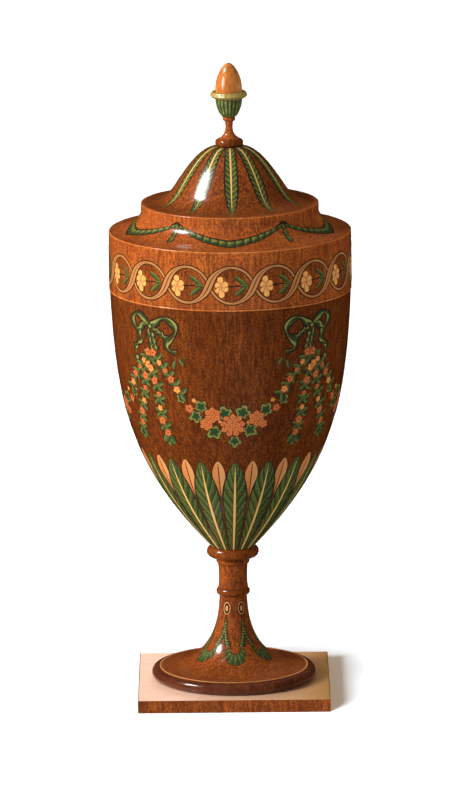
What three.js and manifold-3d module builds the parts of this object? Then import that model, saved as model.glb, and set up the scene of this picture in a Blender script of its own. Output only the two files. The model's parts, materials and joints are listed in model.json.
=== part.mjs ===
// A standing knife case: a turned and painted satinwood vase on a square plinth.
// The lid rises on a square shaft, and a leaf spring on the shaft holds it up over
// three stepped tiers that are cut with slots for knives, forks and spoons.
// Millimetres, +Z up, origin at the middle of the plinth's underside, front towards -Y.

import * as THREE from "three";
import { mergeVertices } from "three/addons/utils/BufferGeometryUtils.js";
import Module from "manifold-3d";

const wasm = await Module();
wasm.setup();

// Facets around the turned pieces
const LARGE_FACETS = 40;
const SMALL_FACETS = 24;
const PIN_FACETS = 8;

// Clearances
const TURNED_GAP = 0.3; // around a spigot in its bore, and a ring in its rebate
const SCREW_GAP = 0.3;
const SLIDE_GAP = 0.3; // on each side of the shaft in its guide
const LID_GAP = 1.3; // between the locating lip and the lid that drops over it
const STOP_GAP = 0.5; // left between the stop and the guide when the lid is right up

// Plinth
const PLINTH_SIDE = 198;
const PLINTH_HEIGHT = 13;
const PLINTH_CHAMFER = 0.8;

// Foot ring and trumpet foot
const FOOT_RING_RADIUS = 85.2;
const FOOT_RING_HEIGHT = 12;
const FOOT_INSET = 8.2; // from the ring's widest line in to the edge of the foot
const FOOT_HEIGHT = 76;
const FOOT_EDGE = 1;
const FOOT_NECK_RADIUS = 14.3;
const FOOT_NECK_RUN = 34; // how far down the neck stays upright
const FOOT_FLARE_RUN = 50; // how far in from the edge the flare stays level
const FOOT_FLARE_RISE = 0.5;

// Stem with its lower ring, its bead and the collar under the bowl
const STEM_RING_RADIUS = 17.4;
const STEM_RING_HEIGHT = 8;
const STEM_HEIGHT = 32.8;
const STEM_END_RADIUS = 15.4;
const STEM_WAIST_RADIUS = 14.4;
const STEM_BEAD_RADIUS = 17.3;
const STEM_BEAD_HEIGHT = 7;
const STEM_FILLET = 0.8;
const LOWER_TENON_RADIUS = 8;
const LOWER_TENON_LENGTH = 24;
const UPPER_TENON_RADIUS = 12;
const UPPER_TENON_LENGTH = 21.2;
const COLLAR_RADIUS = 27;
const COLLAR_HEIGHT = 11.5;

// Bowl
const BOWL_HEIGHT = 272.1;
const BOWL_RADIUS = 123.9;
const BOWL_FOOT_RADIUS = 22.2;
const BOWL_TOP_LEAN = 4.8; // how far the wall leans in over its upper stretch
const BOWL_TOP_RUN = 125;
const BOWL_FOOT_RUN_OUT = 79.6; // the lower stretch runs out and up at this slope
const BOWL_FOOT_RUN_UP = 84.8;
const BOWL_WALL = 9;
const BOWL_FLOOR = 4.5; // wood left over the stem's tenon
const REBATE_STEP = 2.3; // how far the rebate for the slotted stand cuts into the wall

// Slotted tiers in the bowl
const OUTER_TIER_DROP = 23.4; // from the joint down to the top of the outer tier
const TIER_RISE = 20;
const TIER_THICKNESS = 8;
const LIP_WIDTH = 6.7;
const LIP_STAND = 6.6; // how far the locating lip stands above the joint
const LEDGE_WIDTH = 7.7;
const LEDGE_HEIGHT = 8;
const RISER_WIDTH = 4;
const MIDDLE_TIER_RADIUS = 80;
const INNER_TIER_RADIUS = 48;
const RISER_SEAT = 2; // how far a tier runs on inside the riser that stands on it
const SLOT_WIDTH = 7;
const SLOT_END_STEPS = 3;
const KNIFE_SLOTS = 12;
const KNIFE_SLOT_MARGIN = 2; // wood left at each end of a slot
const FORK_SLOTS = 8;
const FORK_SLOT_MARGIN = 3;
const SPOON_SLOTS = 4;
const SPOON_SLOT_MARGIN = 6.5;

// Lid
const FRIEZE_OVERHANG = 0.7; // past the bowl
const FRIEZE_HEIGHT = 60;
const FRIEZE_CHAMFER = 0.6;
const LID_WALL = 8;
const COVE_HEIGHT = 23.6;
const COVE_EDGE = 1.6;
const COVE_NECK_RADIUS = 91;
const COVE_NECK_WALL = 9;
const SPIGOT_DEPTH = 6;
const DOME_HEIGHT = 64.5;
const DOME_OVERHANG = 0.3; // past the cove's neck
const DOME_STEP_HEIGHT = 6.5;
const DOME_STEP_CHAMFER = 0.3;
const DOME_TOP_RADIUS = 14;
const DOME_TURN_RADIUS = 50.4; // where the bell turns from round to hollow
const DOME_TURN_HEIGHT = 32.9;
const DOME_TURN_SLOPE = 0.96; // radians below level
const DOME_TOP_PULL = 15.5;
const DOME_UPPER_PULL = 10.9;
const DOME_LOWER_PULL = 19.6;
const DOME_EDGE_PULL = 27.6;
const CROWN_DEPTH = 17.5; // solid wood at the top of the dome, for the shaft and the finial
const CROWN_RADIUS = 18;

// Finial
const FINIAL_COLLAR_RADIUS = 14.4;
const FINIAL_COLLAR_HEIGHT = 8.1;
const BALUSTER_HEIGHT = 22.7;
const BALUSTER_FLARE_RADIUS = 11;
const BALUSTER_NECK_RADIUS = 3.7;
const BALUSTER_NECK_HEIGHT = 13.2;
const BALUSTER_BEAD_RADIUS = 6.7;
const BALUSTER_BEAD_HEIGHT = 4.6;
const FINIAL_DOWEL_RADIUS = 4;
const FINIAL_DOWEL_DEPTH = 4.5; // into the dome
const FINIAL_PEG_RADIUS = 3.2;
const FINIAL_PEG_LENGTH = 7.7;
const CUP_HEIGHT = 25.9;
const CUP_FOOT_RADIUS = 7;
const CUP_BELLY_RADIUS = 11.2;
const CUP_BELLY_HEIGHT = 6.7;
const CUP_NECK_RADIUS = 13.8;
const CUP_LIP_RADIUS = 19.2;
const CUP_LIP_HEIGHT = 7.4;
const CUP_LIP_EDGE = 1.7; // how far the top of the lip lies inside its widest ring
const ACORN_RADIUS = 13.8;
const ACORN_DEPTH = 4; // sunk in the cup
const ACORN_SHOULDER = 1.8;
const ACORN_POINT = 28;

// Shaft, stop, guide and catch
const SHAFT_SIDE = 12;
const SHAFT_FOOT_GAP = 4; // between the shaft's foot and the floor of the bowl
const SHAFT_TENON_RADIUS = 5;
const CROWN_WEB = 3; // wood left between the shaft's tenon and the finial's dowel
const STOP_SIDE = 22;
const STOP_HEIGHT = 10;
const STOP_PIN_RADIUS = 1.5;
const GUIDE_SIDE = 30;
const GUIDE_LENGTH = 42;
const GUIDE_COLLAR_RADIUS = 16;
const GUIDE_COLLAR_HEIGHT = 6;
const CATCH_DROP = 6; // how far the raised lid settles back on to its catch
const CATCH_FLAT = 22; // length that lies flat in the recess
const CATCH_WIDTH = 7;
const CATCH_THICKNESS = 0.8;
const CATCH_SPREAD = 5; // how far the free end springs out
const CATCH_BEND = 22; // length of the free, bent stretch
const CATCH_RECESS_DEPTH = 1.5;
const CATCH_RECESS_GAP = 0.5;
const CATCH_SCREW_RADIUS = 1;
const CATCH_SCREW_LENGTH = 5;
const CATCH_SCREW_HEAD_RADIUS = 2;
const CATCH_SCREW_HEAD_HEIGHT = 0.5;
const CATCH_SCREW_INSET = 5;
const CATCH_SCREW_SPACING = 10;

// Screws up through the plinth
const PLINTH_SCREWS = 4;
const PLINTH_SCREW_CIRCLE = 36;
const PLINTH_SCREW_RADIUS = 2.2;
const PLINTH_SCREW_BITE = 9; // into the foot
const PLINTH_SCREW_POINT = 4;
const PLINTH_SCREW_HEAD_RADIUS = 4.5;
const PLINTH_SCREW_HEAD_HEIGHT = 3.5;
const PLINTH_SCREW_SINK = 1;

// Heights at which one piece stands on the next
const FOOT_RING_SEAT = PLINTH_HEIGHT;
const FOOT_SEAT = FOOT_RING_SEAT + FOOT_RING_HEIGHT;
const STEM_RING_SEAT = FOOT_SEAT + FOOT_HEIGHT;
const STEM_SEAT = STEM_RING_SEAT + STEM_RING_HEIGHT;
const COLLAR_SEAT = STEM_SEAT + STEM_HEIGHT;
const BOWL_SEAT = COLLAR_SEAT + COLLAR_HEIGHT;
const JOINT = BOWL_SEAT + BOWL_HEIGHT;
const COVE_SEAT = JOINT + FRIEZE_HEIGHT;
const DOME_SEAT = COVE_SEAT + COVE_HEIGHT;
const FINIAL_SEAT = DOME_SEAT + DOME_HEIGHT;
const BALUSTER_SEAT = FINIAL_SEAT + FINIAL_COLLAR_HEIGHT;
const CUP_SEAT = BALUSTER_SEAT + BALUSTER_HEIGHT;
const CUP_TOP = CUP_SEAT + CUP_HEIGHT;

const OUTER_TIER_TOP = JOINT - OUTER_TIER_DROP;
const OUTER_TIER_SEAT = OUTER_TIER_TOP - TIER_THICKNESS;
const MIDDLE_TIER_SEAT = OUTER_TIER_SEAT + TIER_RISE;
const INNER_TIER_SEAT = MIDDLE_TIER_SEAT + TIER_RISE;
const INNER_TIER_TOP = INNER_TIER_SEAT + TIER_THICKNESS;
const LEDGE_SEAT = OUTER_TIER_SEAT - LEDGE_HEIGHT;
const SOCKET_TOP = COLLAR_SEAT + UPPER_TENON_LENGTH + TURNED_GAP;
const BOWL_FLOOR_TOP = SOCKET_TOP + BOWL_FLOOR;
const GUIDE_FOOT = INNER_TIER_SEAT - GUIDE_LENGTH;
const GUIDE_TOP = INNER_TIER_TOP + GUIDE_COLLAR_HEIGHT;
const SHAFT_FOOT = BOWL_FLOOR_TOP + SHAFT_FOOT_GAP;
const SHAFT_SHOULDER = FINIAL_SEAT - CROWN_DEPTH;
const STOP_TOP = SHAFT_FOOT + STOP_HEIGHT;
const SHAFT_TENON_LENGTH = CROWN_DEPTH - FINIAL_DOWEL_DEPTH - CROWN_WEB;
const LID_TRAVEL = GUIDE_FOOT - STOP_GAP - STOP_TOP;
const CATCH_FOOT = GUIDE_TOP - LID_TRAVEL + CATCH_DROP;

// Finishes
const finish = (color, roughness, metalness = 0) =>
  new THREE.MeshStandardMaterial({ color, roughness, metalness });
const SATINWOOD = finish(0x9a5a30, 0.3);
const DARK_WOOD = finish(0x4a2616, 0.25);
const GREEN_PAINT = finish(0x76804a, 0.4);
const INNER_WOOD = finish(0x7a4a2a, 0.5);
const BRASS = finish(0xb08d4a, 0.35, 1);
const STEEL = finish(0x86898c, 0.4, 1);

// A closed three.js geometry as a solid that can be joined and cut
function solidOf(geometry) {
  geometry.deleteAttribute("normal");
  geometry.deleteAttribute("uv");
  const merged = mergeVertices(geometry, 1e-4);
  const corners = merged.index.array;
  const kept = [];
  for (let i = 0; i < corners.length; i += 3) {
    const [a, b, c] = [corners[i], corners[i + 1], corners[i + 2]];
    if (a !== b && b !== c && c !== a) kept.push(a, b, c);
  }
  return new wasm.Manifold(
    new wasm.Mesh({
      numProp: 3,
      vertProperties: merged.attributes.position.array,
      triVerts: new Uint32Array(kept),
    }),
  );
}

// A solid as a named mesh
function pieceOf(name, solid, material) {
  const { vertProperties, triVerts } = solid.getMesh();
  const geometry = new THREE.BufferGeometry();
  geometry.setAttribute("position", new THREE.BufferAttribute(vertProperties, 3));
  geometry.setIndex(new THREE.BufferAttribute(triVerts, 1));
  geometry.computeVertexNormals();
  const mesh = new THREE.Mesh(geometry, material);
  mesh.name = name;
  return mesh;
}

// An outline of [radius, height] points, up its outside and down its inside,
// turned about the Z axis; one that keeps off the axis closes on itself
function turned(outline, facets = LARGE_FACETS) {
  const points = outline.map(([radius, height]) => new THREE.Vector2(radius, height));
  if (points[0].x > 0) points.push(points[0].clone());
  return solidOf(new THREE.LatheGeometry(points, facets).rotateX(Math.PI / 2));
}

// A flat shape in the XY plane, made thick from one height up to another
function slab(shape, low, high) {
  const geometry = new THREE.ExtrudeGeometry(shape, { depth: high - low, bevelEnabled: false });
  const height = geometry.attributes.position;
  for (let i = 0; i < height.count; i++) height.setZ(i, height.getZ(i) > 0 ? high : low);
  return solidOf(geometry);
}

// A box between two corners
function block([x0, y0, z0], [x1, y1, z1]) {
  const geometry = new THREE.BoxGeometry(1, 1, 1);
  const corner = geometry.attributes.position;
  for (let i = 0; i < corner.count; i++) {
    corner.setXYZ(
      i,
      corner.getX(i) > 0 ? x1 : x0,
      corner.getY(i) > 0 ? y1 : y0,
      corner.getZ(i) > 0 ? z1 : z0,
    );
  }
  return solidOf(geometry);
}

// Square stock about the Z axis
const squareBar = (side, low, high) =>
  block([-side / 2, -side / 2, low], [side / 2, side / 2, high]);

// Points of a cubic curve through its two ends
function sweep(start, startPull, endPull, end, steps) {
  const at = ([radius, height]) => new THREE.Vector2(radius, height);
  const curve = new THREE.CubicBezierCurve(at(start), at(startPull), at(endPull), at(end));
  return curve.getPoints(steps).map((point) => [point.x, point.y]);
}

// A half-round edge that swells to a radius between two heights
function halfRound(radius, low, high, steps = 4) {
  const half = (high - low) / 2;
  return Array.from({ length: steps + 1 }, (_, i) => {
    const turn = (Math.PI * i) / steps;
    return [radius - half + half * Math.sin(turn), low + half - half * Math.cos(turn)];
  });
}

// A wall's inner line: each point of its outer line moved square to it by the thickness
function innerLine(outer, thickness) {
  return outer.map(([radius, height], i) => {
    const [r0, z0] = outer[Math.max(i - 1, 0)];
    const [r1, z1] = outer[Math.min(i + 1, outer.length - 1)];
    const length = Math.hypot(r1 - r0, z1 - z0);
    return [radius - (thickness * (z1 - z0)) / length, height + (thickness * (r1 - r0)) / length];
  });
}

// The part of a rising line that lies between two heights, ended exactly at both
function between(line, low, high) {
  const radiusAt = (height) => {
    const i = Math.max(1, line.findIndex(([, z]) => z >= height));
    const [[r0, z0], [r1, z1]] = [line[i - 1], line[i]];
    return r0 + ((r1 - r0) * (height - z0)) / (z1 - z0);
  };
  const inside = line.filter(([, z]) => z > low + 1 && z < high - 1);
  return [[radiusAt(low), low], ...inside, [radiusAt(high), high]];
}

// The facetted circle of a turned piece, as a flat outline
function circle(radius, facets = LARGE_FACETS) {
  return Array.from({ length: facets }, (_, i) => {
    const turn = (2 * Math.PI * i) / facets;
    return new THREE.Vector2(radius * Math.sin(turn), -radius * Math.cos(turn));
  });
}

// A slot with round ends that lies along the ray at an angle
function slot(angle, middle, length) {
  const [half, reach] = [SLOT_WIDTH / 2, (length - SLOT_WIDTH) / 2];
  const points = [];
  for (const end of [1, -1]) {
    for (let i = 0; i <= SLOT_END_STEPS; i++) {
      const turn = Math.PI * (i / SLOT_END_STEPS - 0.5);
      const along = middle + end * (reach + half * Math.cos(turn));
      const across = end * half * Math.sin(turn);
      points.push(new THREE.Vector2(along, across).rotateAround(new THREE.Vector2(), angle));
    }
  }
  return new THREE.Path(points);
}

// One step of the slotted stand: a ring with slots around it
function tier(outerRadius, holes, low) {
  const shape = new THREE.Shape(circle(outerRadius));
  shape.holes.push(...holes);
  return slab(shape, low, low + TIER_THICKNESS);
}

// Slots spread evenly around the ring between two circles
function slotRing(count, inner, outer, margin) {
  const middle = (inner + outer) / 2;
  const length = outer - inner - 2 * margin;
  return Array.from({ length: count }, (_, i) => slot((2 * Math.PI * i) / count, middle, length));
}

// The bowl's outer line, from its foot up to the joint
const bowlLine = (steps) =>
  sweep(
    [BOWL_FOOT_RADIUS, BOWL_SEAT],
    [BOWL_FOOT_RADIUS + BOWL_FOOT_RUN_OUT, BOWL_SEAT + BOWL_FOOT_RUN_UP],
    [BOWL_RADIUS - BOWL_TOP_LEAN, JOINT - BOWL_TOP_RUN],
    [BOWL_RADIUS, JOINT],
    steps,
  );

const bowlInside = between(innerLine(bowlLine(9), BOWL_WALL), BOWL_FLOOR_TOP, LEDGE_SEAT);

// Radii that follow from the fits
const REBATE_RADIUS = bowlInside.at(-1)[0] + REBATE_STEP;
const FITTING_RADIUS = REBATE_RADIUS - TURNED_GAP;
const LIP_BORE = FITTING_RADIUS - LIP_WIDTH;
const LEDGE_BORE = FITTING_RADIUS - LEDGE_WIDTH;
const FRIEZE_BORE = FITTING_RADIUS + LID_GAP;
const FRIEZE_RADIUS = BOWL_RADIUS + FRIEZE_OVERHANG;
const COVE_MOUTH_RADIUS = COVE_NECK_RADIUS - COVE_NECK_WALL;
const DOME_STEP_RADIUS = COVE_NECK_RADIUS + DOME_OVERHANG;
const FOOT_RADIUS = FOOT_RING_RADIUS - FOOT_INSET;
const GUIDE_BORE = SHAFT_SIDE + 2 * SLIDE_GAP;
const MIDDLE_TIER_HOLE = INNER_TIER_RADIUS - RISER_WIDTH - RISER_SEAT;
const OUTER_TIER_HOLE = MIDDLE_TIER_RADIUS - RISER_WIDTH - RISER_SEAT;

// A plain ring with flat ends
const ring = (bore, radius, low, high) =>
  turned([
    [bore, low],
    [radius, low],
    [radius, high],
    [bore, high],
  ]);

// Plinth, foot and stem

// The outline of a countersunk wood screw with its head down, made wider all over by a gap
function screwOutline(gap) {
  const low = PLINTH_SCREW_SINK;
  const neck = low + PLINTH_SCREW_HEAD_HEIGHT;
  const tip = FOOT_SEAT + PLINTH_SCREW_BITE;
  return [
    [0, gap ? -1 : low],
    [PLINTH_SCREW_HEAD_RADIUS + gap, gap ? -1 : low],
    [PLINTH_SCREW_HEAD_RADIUS + gap, low],
    [PLINTH_SCREW_RADIUS + gap, neck],
    [PLINTH_SCREW_RADIUS + gap, tip - PLINTH_SCREW_POINT],
    [0, tip + gap],
  ].filter(([r, z], i, all) => i === 0 || r !== all[i - 1][0] || z !== all[i - 1][1]);
}

const screwPlaces = Array.from({ length: PLINTH_SCREWS }, (_, i) => {
  const turn = (2 * Math.PI * (i + 0.5)) / PLINTH_SCREWS;
  return [PLINTH_SCREW_CIRCLE * Math.cos(turn), PLINTH_SCREW_CIRCLE * Math.sin(turn)];
});

// Cuts the four screw holes in a piece of the stand
function drilled(solid) {
  const hole = turned(screwOutline(SCREW_GAP), PIN_FACETS);
  return screwPlaces.reduce((body, [x, y]) => body.subtract(hole.translate([x, y, 0])), solid);
}

function plinth() {
  const half = PLINTH_SIDE / 2;
  const inset = half - PLINTH_CHAMFER;
  const corner = ([x, y]) => new THREE.Vector2(x, y);
  const square = (reach) =>
    [
      [-1, -1],
      [1, -1],
      [1, 1],
      [-1, 1],
    ].map(([x, y]) => corner([x * reach, y * reach]));
  const body = slab(new THREE.Shape(square(half)), 0, PLINTH_HEIGHT - PLINTH_CHAMFER);
  const top = new THREE.CylinderGeometry(inset * Math.SQRT2, half * Math.SQRT2, PLINTH_CHAMFER, 4)
    .rotateY(Math.PI / 4)
    .rotateX(Math.PI / 2)
    .translate(0, 0, PLINTH_HEIGHT - PLINTH_CHAMFER / 2);
  return pieceOf("plinth", drilled(body.add(solidOf(top))), SATINWOOD);
}

function plinthScrews() {
  const shape = turned(screwOutline(0), PIN_FACETS);
  return screwPlaces.map(([x, y], i) => {
    const screw = pieceOf(`plinth_screw_${i + 1}`, shape, STEEL);
    screw.position.set(x, y, 0);
    return screw;
  });
}

function footRing() {
  const edge = halfRound(FOOT_RING_RADIUS, FOOT_RING_SEAT, FOOT_SEAT, 6);
  return pieceOf(
    "foot_ring",
    drilled(turned([[0, FOOT_RING_SEAT], ...edge, [0, FOOT_SEAT]])),
    DARK_WOOD,
  );
}

function foot() {
  const edge = FOOT_SEAT + FOOT_EDGE;
  const flare = sweep(
    [FOOT_RADIUS, edge],
    [FOOT_RADIUS - FOOT_FLARE_RUN, edge + FOOT_FLARE_RISE],
    [FOOT_NECK_RADIUS, STEM_RING_SEAT - FOOT_NECK_RUN],
    [FOOT_NECK_RADIUS, STEM_RING_SEAT],
    10,
  );
  const bore = LOWER_TENON_RADIUS + TURNED_GAP;
  const boreFoot = STEM_SEAT - LOWER_TENON_LENGTH - TURNED_GAP;
  const outline = [
    [0, FOOT_SEAT],
    [FOOT_RADIUS, FOOT_SEAT],
    ...flare,
    [bore, STEM_RING_SEAT],
    [bore, boreFoot],
    [0, boreFoot],
  ];
  return pieceOf("foot", drilled(turned(outline)), SATINWOOD);
}

function stemRing() {
  const bore = LOWER_TENON_RADIUS + TURNED_GAP;
  const edge = halfRound(STEM_RING_RADIUS, STEM_RING_SEAT, STEM_SEAT);
  const outline = [[bore, STEM_RING_SEAT], ...edge, [bore, STEM_SEAT]];
  return pieceOf("stem_ring", turned(outline, SMALL_FACETS), DARK_WOOD);
}

function stem() {
  const beadTop = COLLAR_SEAT - STEM_FILLET;
  const beadFoot = beadTop - STEM_BEAD_HEIGHT;
  const waist = (STEM_SEAT + beadFoot) / 2;
  const waistRun = (beadFoot - STEM_SEAT) / 4;
  const outline = [
    [0, STEM_SEAT - LOWER_TENON_LENGTH],
    [LOWER_TENON_RADIUS, STEM_SEAT - LOWER_TENON_LENGTH],
    [LOWER_TENON_RADIUS, STEM_SEAT],
    [STEM_END_RADIUS, STEM_SEAT],
    ...sweep(
      [STEM_END_RADIUS, STEM_SEAT + STEM_FILLET],
      [STEM_WAIST_RADIUS, waist - waistRun],
      [STEM_WAIST_RADIUS, waist + waistRun],
      [STEM_END_RADIUS, beadFoot],
      4,
    ),
    ...halfRound(STEM_BEAD_RADIUS, beadFoot, beadTop).slice(1, -1),
    [STEM_END_RADIUS, beadTop],
    [STEM_END_RADIUS, COLLAR_SEAT],
    [UPPER_TENON_RADIUS, COLLAR_SEAT],
    [UPPER_TENON_RADIUS, COLLAR_SEAT + UPPER_TENON_LENGTH],
    [0, COLLAR_SEAT + UPPER_TENON_LENGTH],
  ];
  return pieceOf("stem", turned(outline, SMALL_FACETS), SATINWOOD);
}

function stemCollar() {
  const bore = UPPER_TENON_RADIUS + TURNED_GAP;
  const edge = halfRound(COLLAR_RADIUS, COLLAR_SEAT, BOWL_SEAT, 6);
  const outline = [[bore, COLLAR_SEAT], ...edge, [bore, BOWL_SEAT]];
  return pieceOf("stem_collar", turned(outline, SMALL_FACETS), DARK_WOOD);
}

// Bowl and its slotted stand

function bowl() {
  const socket = UPPER_TENON_RADIUS + TURNED_GAP;
  const outline = [
    [0, SOCKET_TOP],
    [socket, SOCKET_TOP],
    [socket, BOWL_SEAT],
    ...bowlLine(11),
    [REBATE_RADIUS, JOINT],
    [REBATE_RADIUS, LEDGE_SEAT],
    ...bowlInside.toReversed(),
    [0, BOWL_FLOOR_TOP],
  ];
  return pieceOf("bowl", turned(outline), SATINWOOD);
}

const tierLedge = () =>
  pieceOf("tier_ledge", ring(LEDGE_BORE, FITTING_RADIUS, LEDGE_SEAT, OUTER_TIER_SEAT), INNER_WOOD);

const locatingLip = () =>
  pieceOf(
    "locating_lip",
    ring(LIP_BORE, FITTING_RADIUS, OUTER_TIER_TOP, JOINT + LIP_STAND),
    SATINWOOD,
  );

function outerTier() {
  const holes = [
    new THREE.Path(circle(OUTER_TIER_HOLE)),
    ...slotRing(KNIFE_SLOTS, MIDDLE_TIER_RADIUS, LIP_BORE, KNIFE_SLOT_MARGIN),
  ];
  return pieceOf("outer_tier", tier(FITTING_RADIUS, holes, OUTER_TIER_SEAT), SATINWOOD);
}

const outerRiser = () =>
  pieceOf(
    "outer_riser",
    ring(MIDDLE_TIER_RADIUS - RISER_WIDTH, MIDDLE_TIER_RADIUS, OUTER_TIER_TOP, MIDDLE_TIER_SEAT),
    SATINWOOD,
  );

function middleTier() {
  const holes = [
    new THREE.Path(circle(MIDDLE_TIER_HOLE)),
    ...slotRing(FORK_SLOTS, INNER_TIER_RADIUS, OUTER_TIER_HOLE, FORK_SLOT_MARGIN),
  ];
  return pieceOf("middle_tier", tier(MIDDLE_TIER_RADIUS, holes, MIDDLE_TIER_SEAT), SATINWOOD);
}

const innerRiser = () =>
  pieceOf(
    "inner_riser",
    ring(
      INNER_TIER_RADIUS - RISER_WIDTH,
      INNER_TIER_RADIUS,
      MIDDLE_TIER_SEAT + TIER_THICKNESS,
      INNER_TIER_SEAT,
    ),
    SATINWOOD,
  );

function innerTier() {
  const half = GUIDE_BORE / 2;
  const bore = [
    [-half, -half],
    [half, -half],
    [half, half],
    [-half, half],
  ].map(([x, y]) => new THREE.Vector2(x, y));
  const holes = [
    new THREE.Path(bore),
    ...slotRing(SPOON_SLOTS, GUIDE_SIDE / 2, MIDDLE_TIER_HOLE, SPOON_SLOT_MARGIN),
  ];
  return pieceOf("inner_tier", tier(INNER_TIER_RADIUS, holes, INNER_TIER_SEAT), SATINWOOD);
}

function guideBox() {
  const outside = squareBar(GUIDE_SIDE, GUIDE_FOOT, INNER_TIER_SEAT);
  const bore = squareBar(GUIDE_BORE, GUIDE_FOOT - 1, INNER_TIER_SEAT + 1);
  return pieceOf("guide_box", outside.subtract(bore), INNER_WOOD);
}

function guideCollar() {
  const outside = turned(
    [
      [0, INNER_TIER_TOP],
      [GUIDE_COLLAR_RADIUS, INNER_TIER_TOP],
      [GUIDE_COLLAR_RADIUS, GUIDE_TOP - 1],
      [GUIDE_COLLAR_RADIUS - 1, GUIDE_TOP],
      [0, GUIDE_TOP],
    ],
    SMALL_FACETS,
  );
  const bore = squareBar(GUIDE_BORE, INNER_TIER_TOP - 1, GUIDE_TOP + 1);
  return pieceOf("guide_collar", outside.subtract(bore), BRASS);
}

// Lid

function lidFrieze() {
  const [low, high, cut] = [JOINT, COVE_SEAT, FRIEZE_CHAMFER];
  const outline = [
    [FRIEZE_BORE, low],
    [FRIEZE_RADIUS - cut, low],
    [FRIEZE_RADIUS, low + cut],
    [FRIEZE_RADIUS, high],
    [FRIEZE_BORE, high],
  ];
  return pieceOf("lid_frieze", turned(outline), SATINWOOD);
}

function lidCove() {
  const spigot = FRIEZE_BORE - TURNED_GAP;
  const edge = COVE_SEAT + COVE_EDGE;
  const steps = 6;
  const hollow = Array.from({ length: steps + 1 }, (_, i) => {
    const turn = (Math.PI / 2) * (1 - i / steps);
    return [
      FRIEZE_RADIUS - (FRIEZE_RADIUS - COVE_NECK_RADIUS) * Math.cos(turn),
      DOME_SEAT - (DOME_SEAT - edge) * Math.sin(turn),
    ];
  });
  const outline = [
    [spigot - LID_WALL, COVE_SEAT - SPIGOT_DEPTH],
    [spigot, COVE_SEAT - SPIGOT_DEPTH],
    [spigot, COVE_SEAT],
    [FRIEZE_RADIUS, COVE_SEAT],
    ...hollow,
    [COVE_MOUTH_RADIUS, DOME_SEAT],
    [COVE_MOUTH_RADIUS, DOME_SEAT - SPIGOT_DEPTH - LID_WALL / 2],
    [COVE_MOUTH_RADIUS + LID_WALL, COVE_SEAT],
  ];
  return pieceOf("lid_cove", turned(outline), SATINWOOD);
}

// The bell of the dome, from its step up to the finial: hollow below, round above
function bellLine(steps) {
  const turn = [DOME_TURN_RADIUS, DOME_SEAT + DOME_TURN_HEIGHT];
  const slope = [Math.cos(DOME_TURN_SLOPE), Math.sin(DOME_TURN_SLOPE)];
  const stepTop = DOME_SEAT + DOME_STEP_HEIGHT + DOME_STEP_CHAMFER;
  const shelf = DOME_STEP_RADIUS - DOME_STEP_CHAMFER;
  const lower = sweep(
    [shelf, stepTop],
    [shelf - DOME_EDGE_PULL, stepTop],
    [turn[0] + DOME_LOWER_PULL * slope[0], turn[1] - DOME_LOWER_PULL * slope[1]],
    turn,
    steps,
  );
  const upper = sweep(
    turn,
    [turn[0] - DOME_UPPER_PULL * slope[0], turn[1] + DOME_UPPER_PULL * slope[1]],
    [DOME_TOP_RADIUS + DOME_TOP_PULL, FINIAL_SEAT],
    [DOME_TOP_RADIUS, FINIAL_SEAT],
    steps,
  );
  return [...lower, ...upper.slice(1)];
}

function lidDome() {
  const stepTop = DOME_SEAT + DOME_STEP_HEIGHT;
  const inside = innerLine(bellLine(4), LID_WALL)
    .filter(([r, z]) => z > stepTop - SPIGOT_DEPTH / 2 && z < SHAFT_SHOULDER - 1 && r > CROWN_RADIUS);
  const spigot = COVE_MOUTH_RADIUS - TURNED_GAP;
  const dowelBore = FINIAL_DOWEL_RADIUS + TURNED_GAP;
  const tenonBore = SHAFT_TENON_RADIUS + TURNED_GAP;
  const tenonTop = SHAFT_SHOULDER + SHAFT_TENON_LENGTH + TURNED_GAP;
  const outline = [
    [spigot - LID_WALL, DOME_SEAT - SPIGOT_DEPTH],
    [spigot, DOME_SEAT - SPIGOT_DEPTH],
    [spigot, DOME_SEAT],
    [DOME_STEP_RADIUS, DOME_SEAT],
    [DOME_STEP_RADIUS, stepTop],
    ...bellLine(6),
    [dowelBore, FINIAL_SEAT],
    [dowelBore, tenonTop],
    [tenonBore, tenonTop],
    [tenonBore, SHAFT_SHOULDER],
    [CROWN_RADIUS, SHAFT_SHOULDER],
    ...inside.reverse(),
  ];
  return pieceOf("lid_dome", turned(outline), SATINWOOD);
}

// Finial

function finialCollar() {
  const bore = FINIAL_DOWEL_RADIUS + TURNED_GAP;
  const edge = halfRound(FINIAL_COLLAR_RADIUS, FINIAL_SEAT, BALUSTER_SEAT);
  const outline = [[bore, FINIAL_SEAT], ...edge, [bore, BALUSTER_SEAT]];
  return pieceOf("finial_collar", turned(outline, SMALL_FACETS), SATINWOOD);
}

function finialBaluster() {
  const neck = BALUSTER_SEAT + BALUSTER_NECK_HEIGHT;
  const beadFoot = CUP_SEAT - BALUSTER_BEAD_HEIGHT;
  const pull = (neck - BALUSTER_SEAT) / 2;
  const flare = sweep(
    [BALUSTER_FLARE_RADIUS, BALUSTER_SEAT],
    [BALUSTER_FLARE_RADIUS / 2, BALUSTER_SEAT + pull / 2],
    [BALUSTER_NECK_RADIUS, neck - pull],
    [BALUSTER_NECK_RADIUS, neck],
    4,
  );
  const outline = [
    [0, FINIAL_SEAT - FINIAL_DOWEL_DEPTH],
    [FINIAL_DOWEL_RADIUS, FINIAL_SEAT - FINIAL_DOWEL_DEPTH],
    [FINIAL_DOWEL_RADIUS, BALUSTER_SEAT],
    ...flare,
    ...halfRound(BALUSTER_BEAD_RADIUS, beadFoot, CUP_SEAT, 4),
    [FINIAL_PEG_RADIUS, CUP_SEAT],
    [FINIAL_PEG_RADIUS, CUP_SEAT + FINIAL_PEG_LENGTH],
    [0, CUP_SEAT + FINIAL_PEG_LENGTH],
  ];
  return pieceOf("finial_baluster", turned(outline, SMALL_FACETS), SATINWOOD);
}

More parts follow.
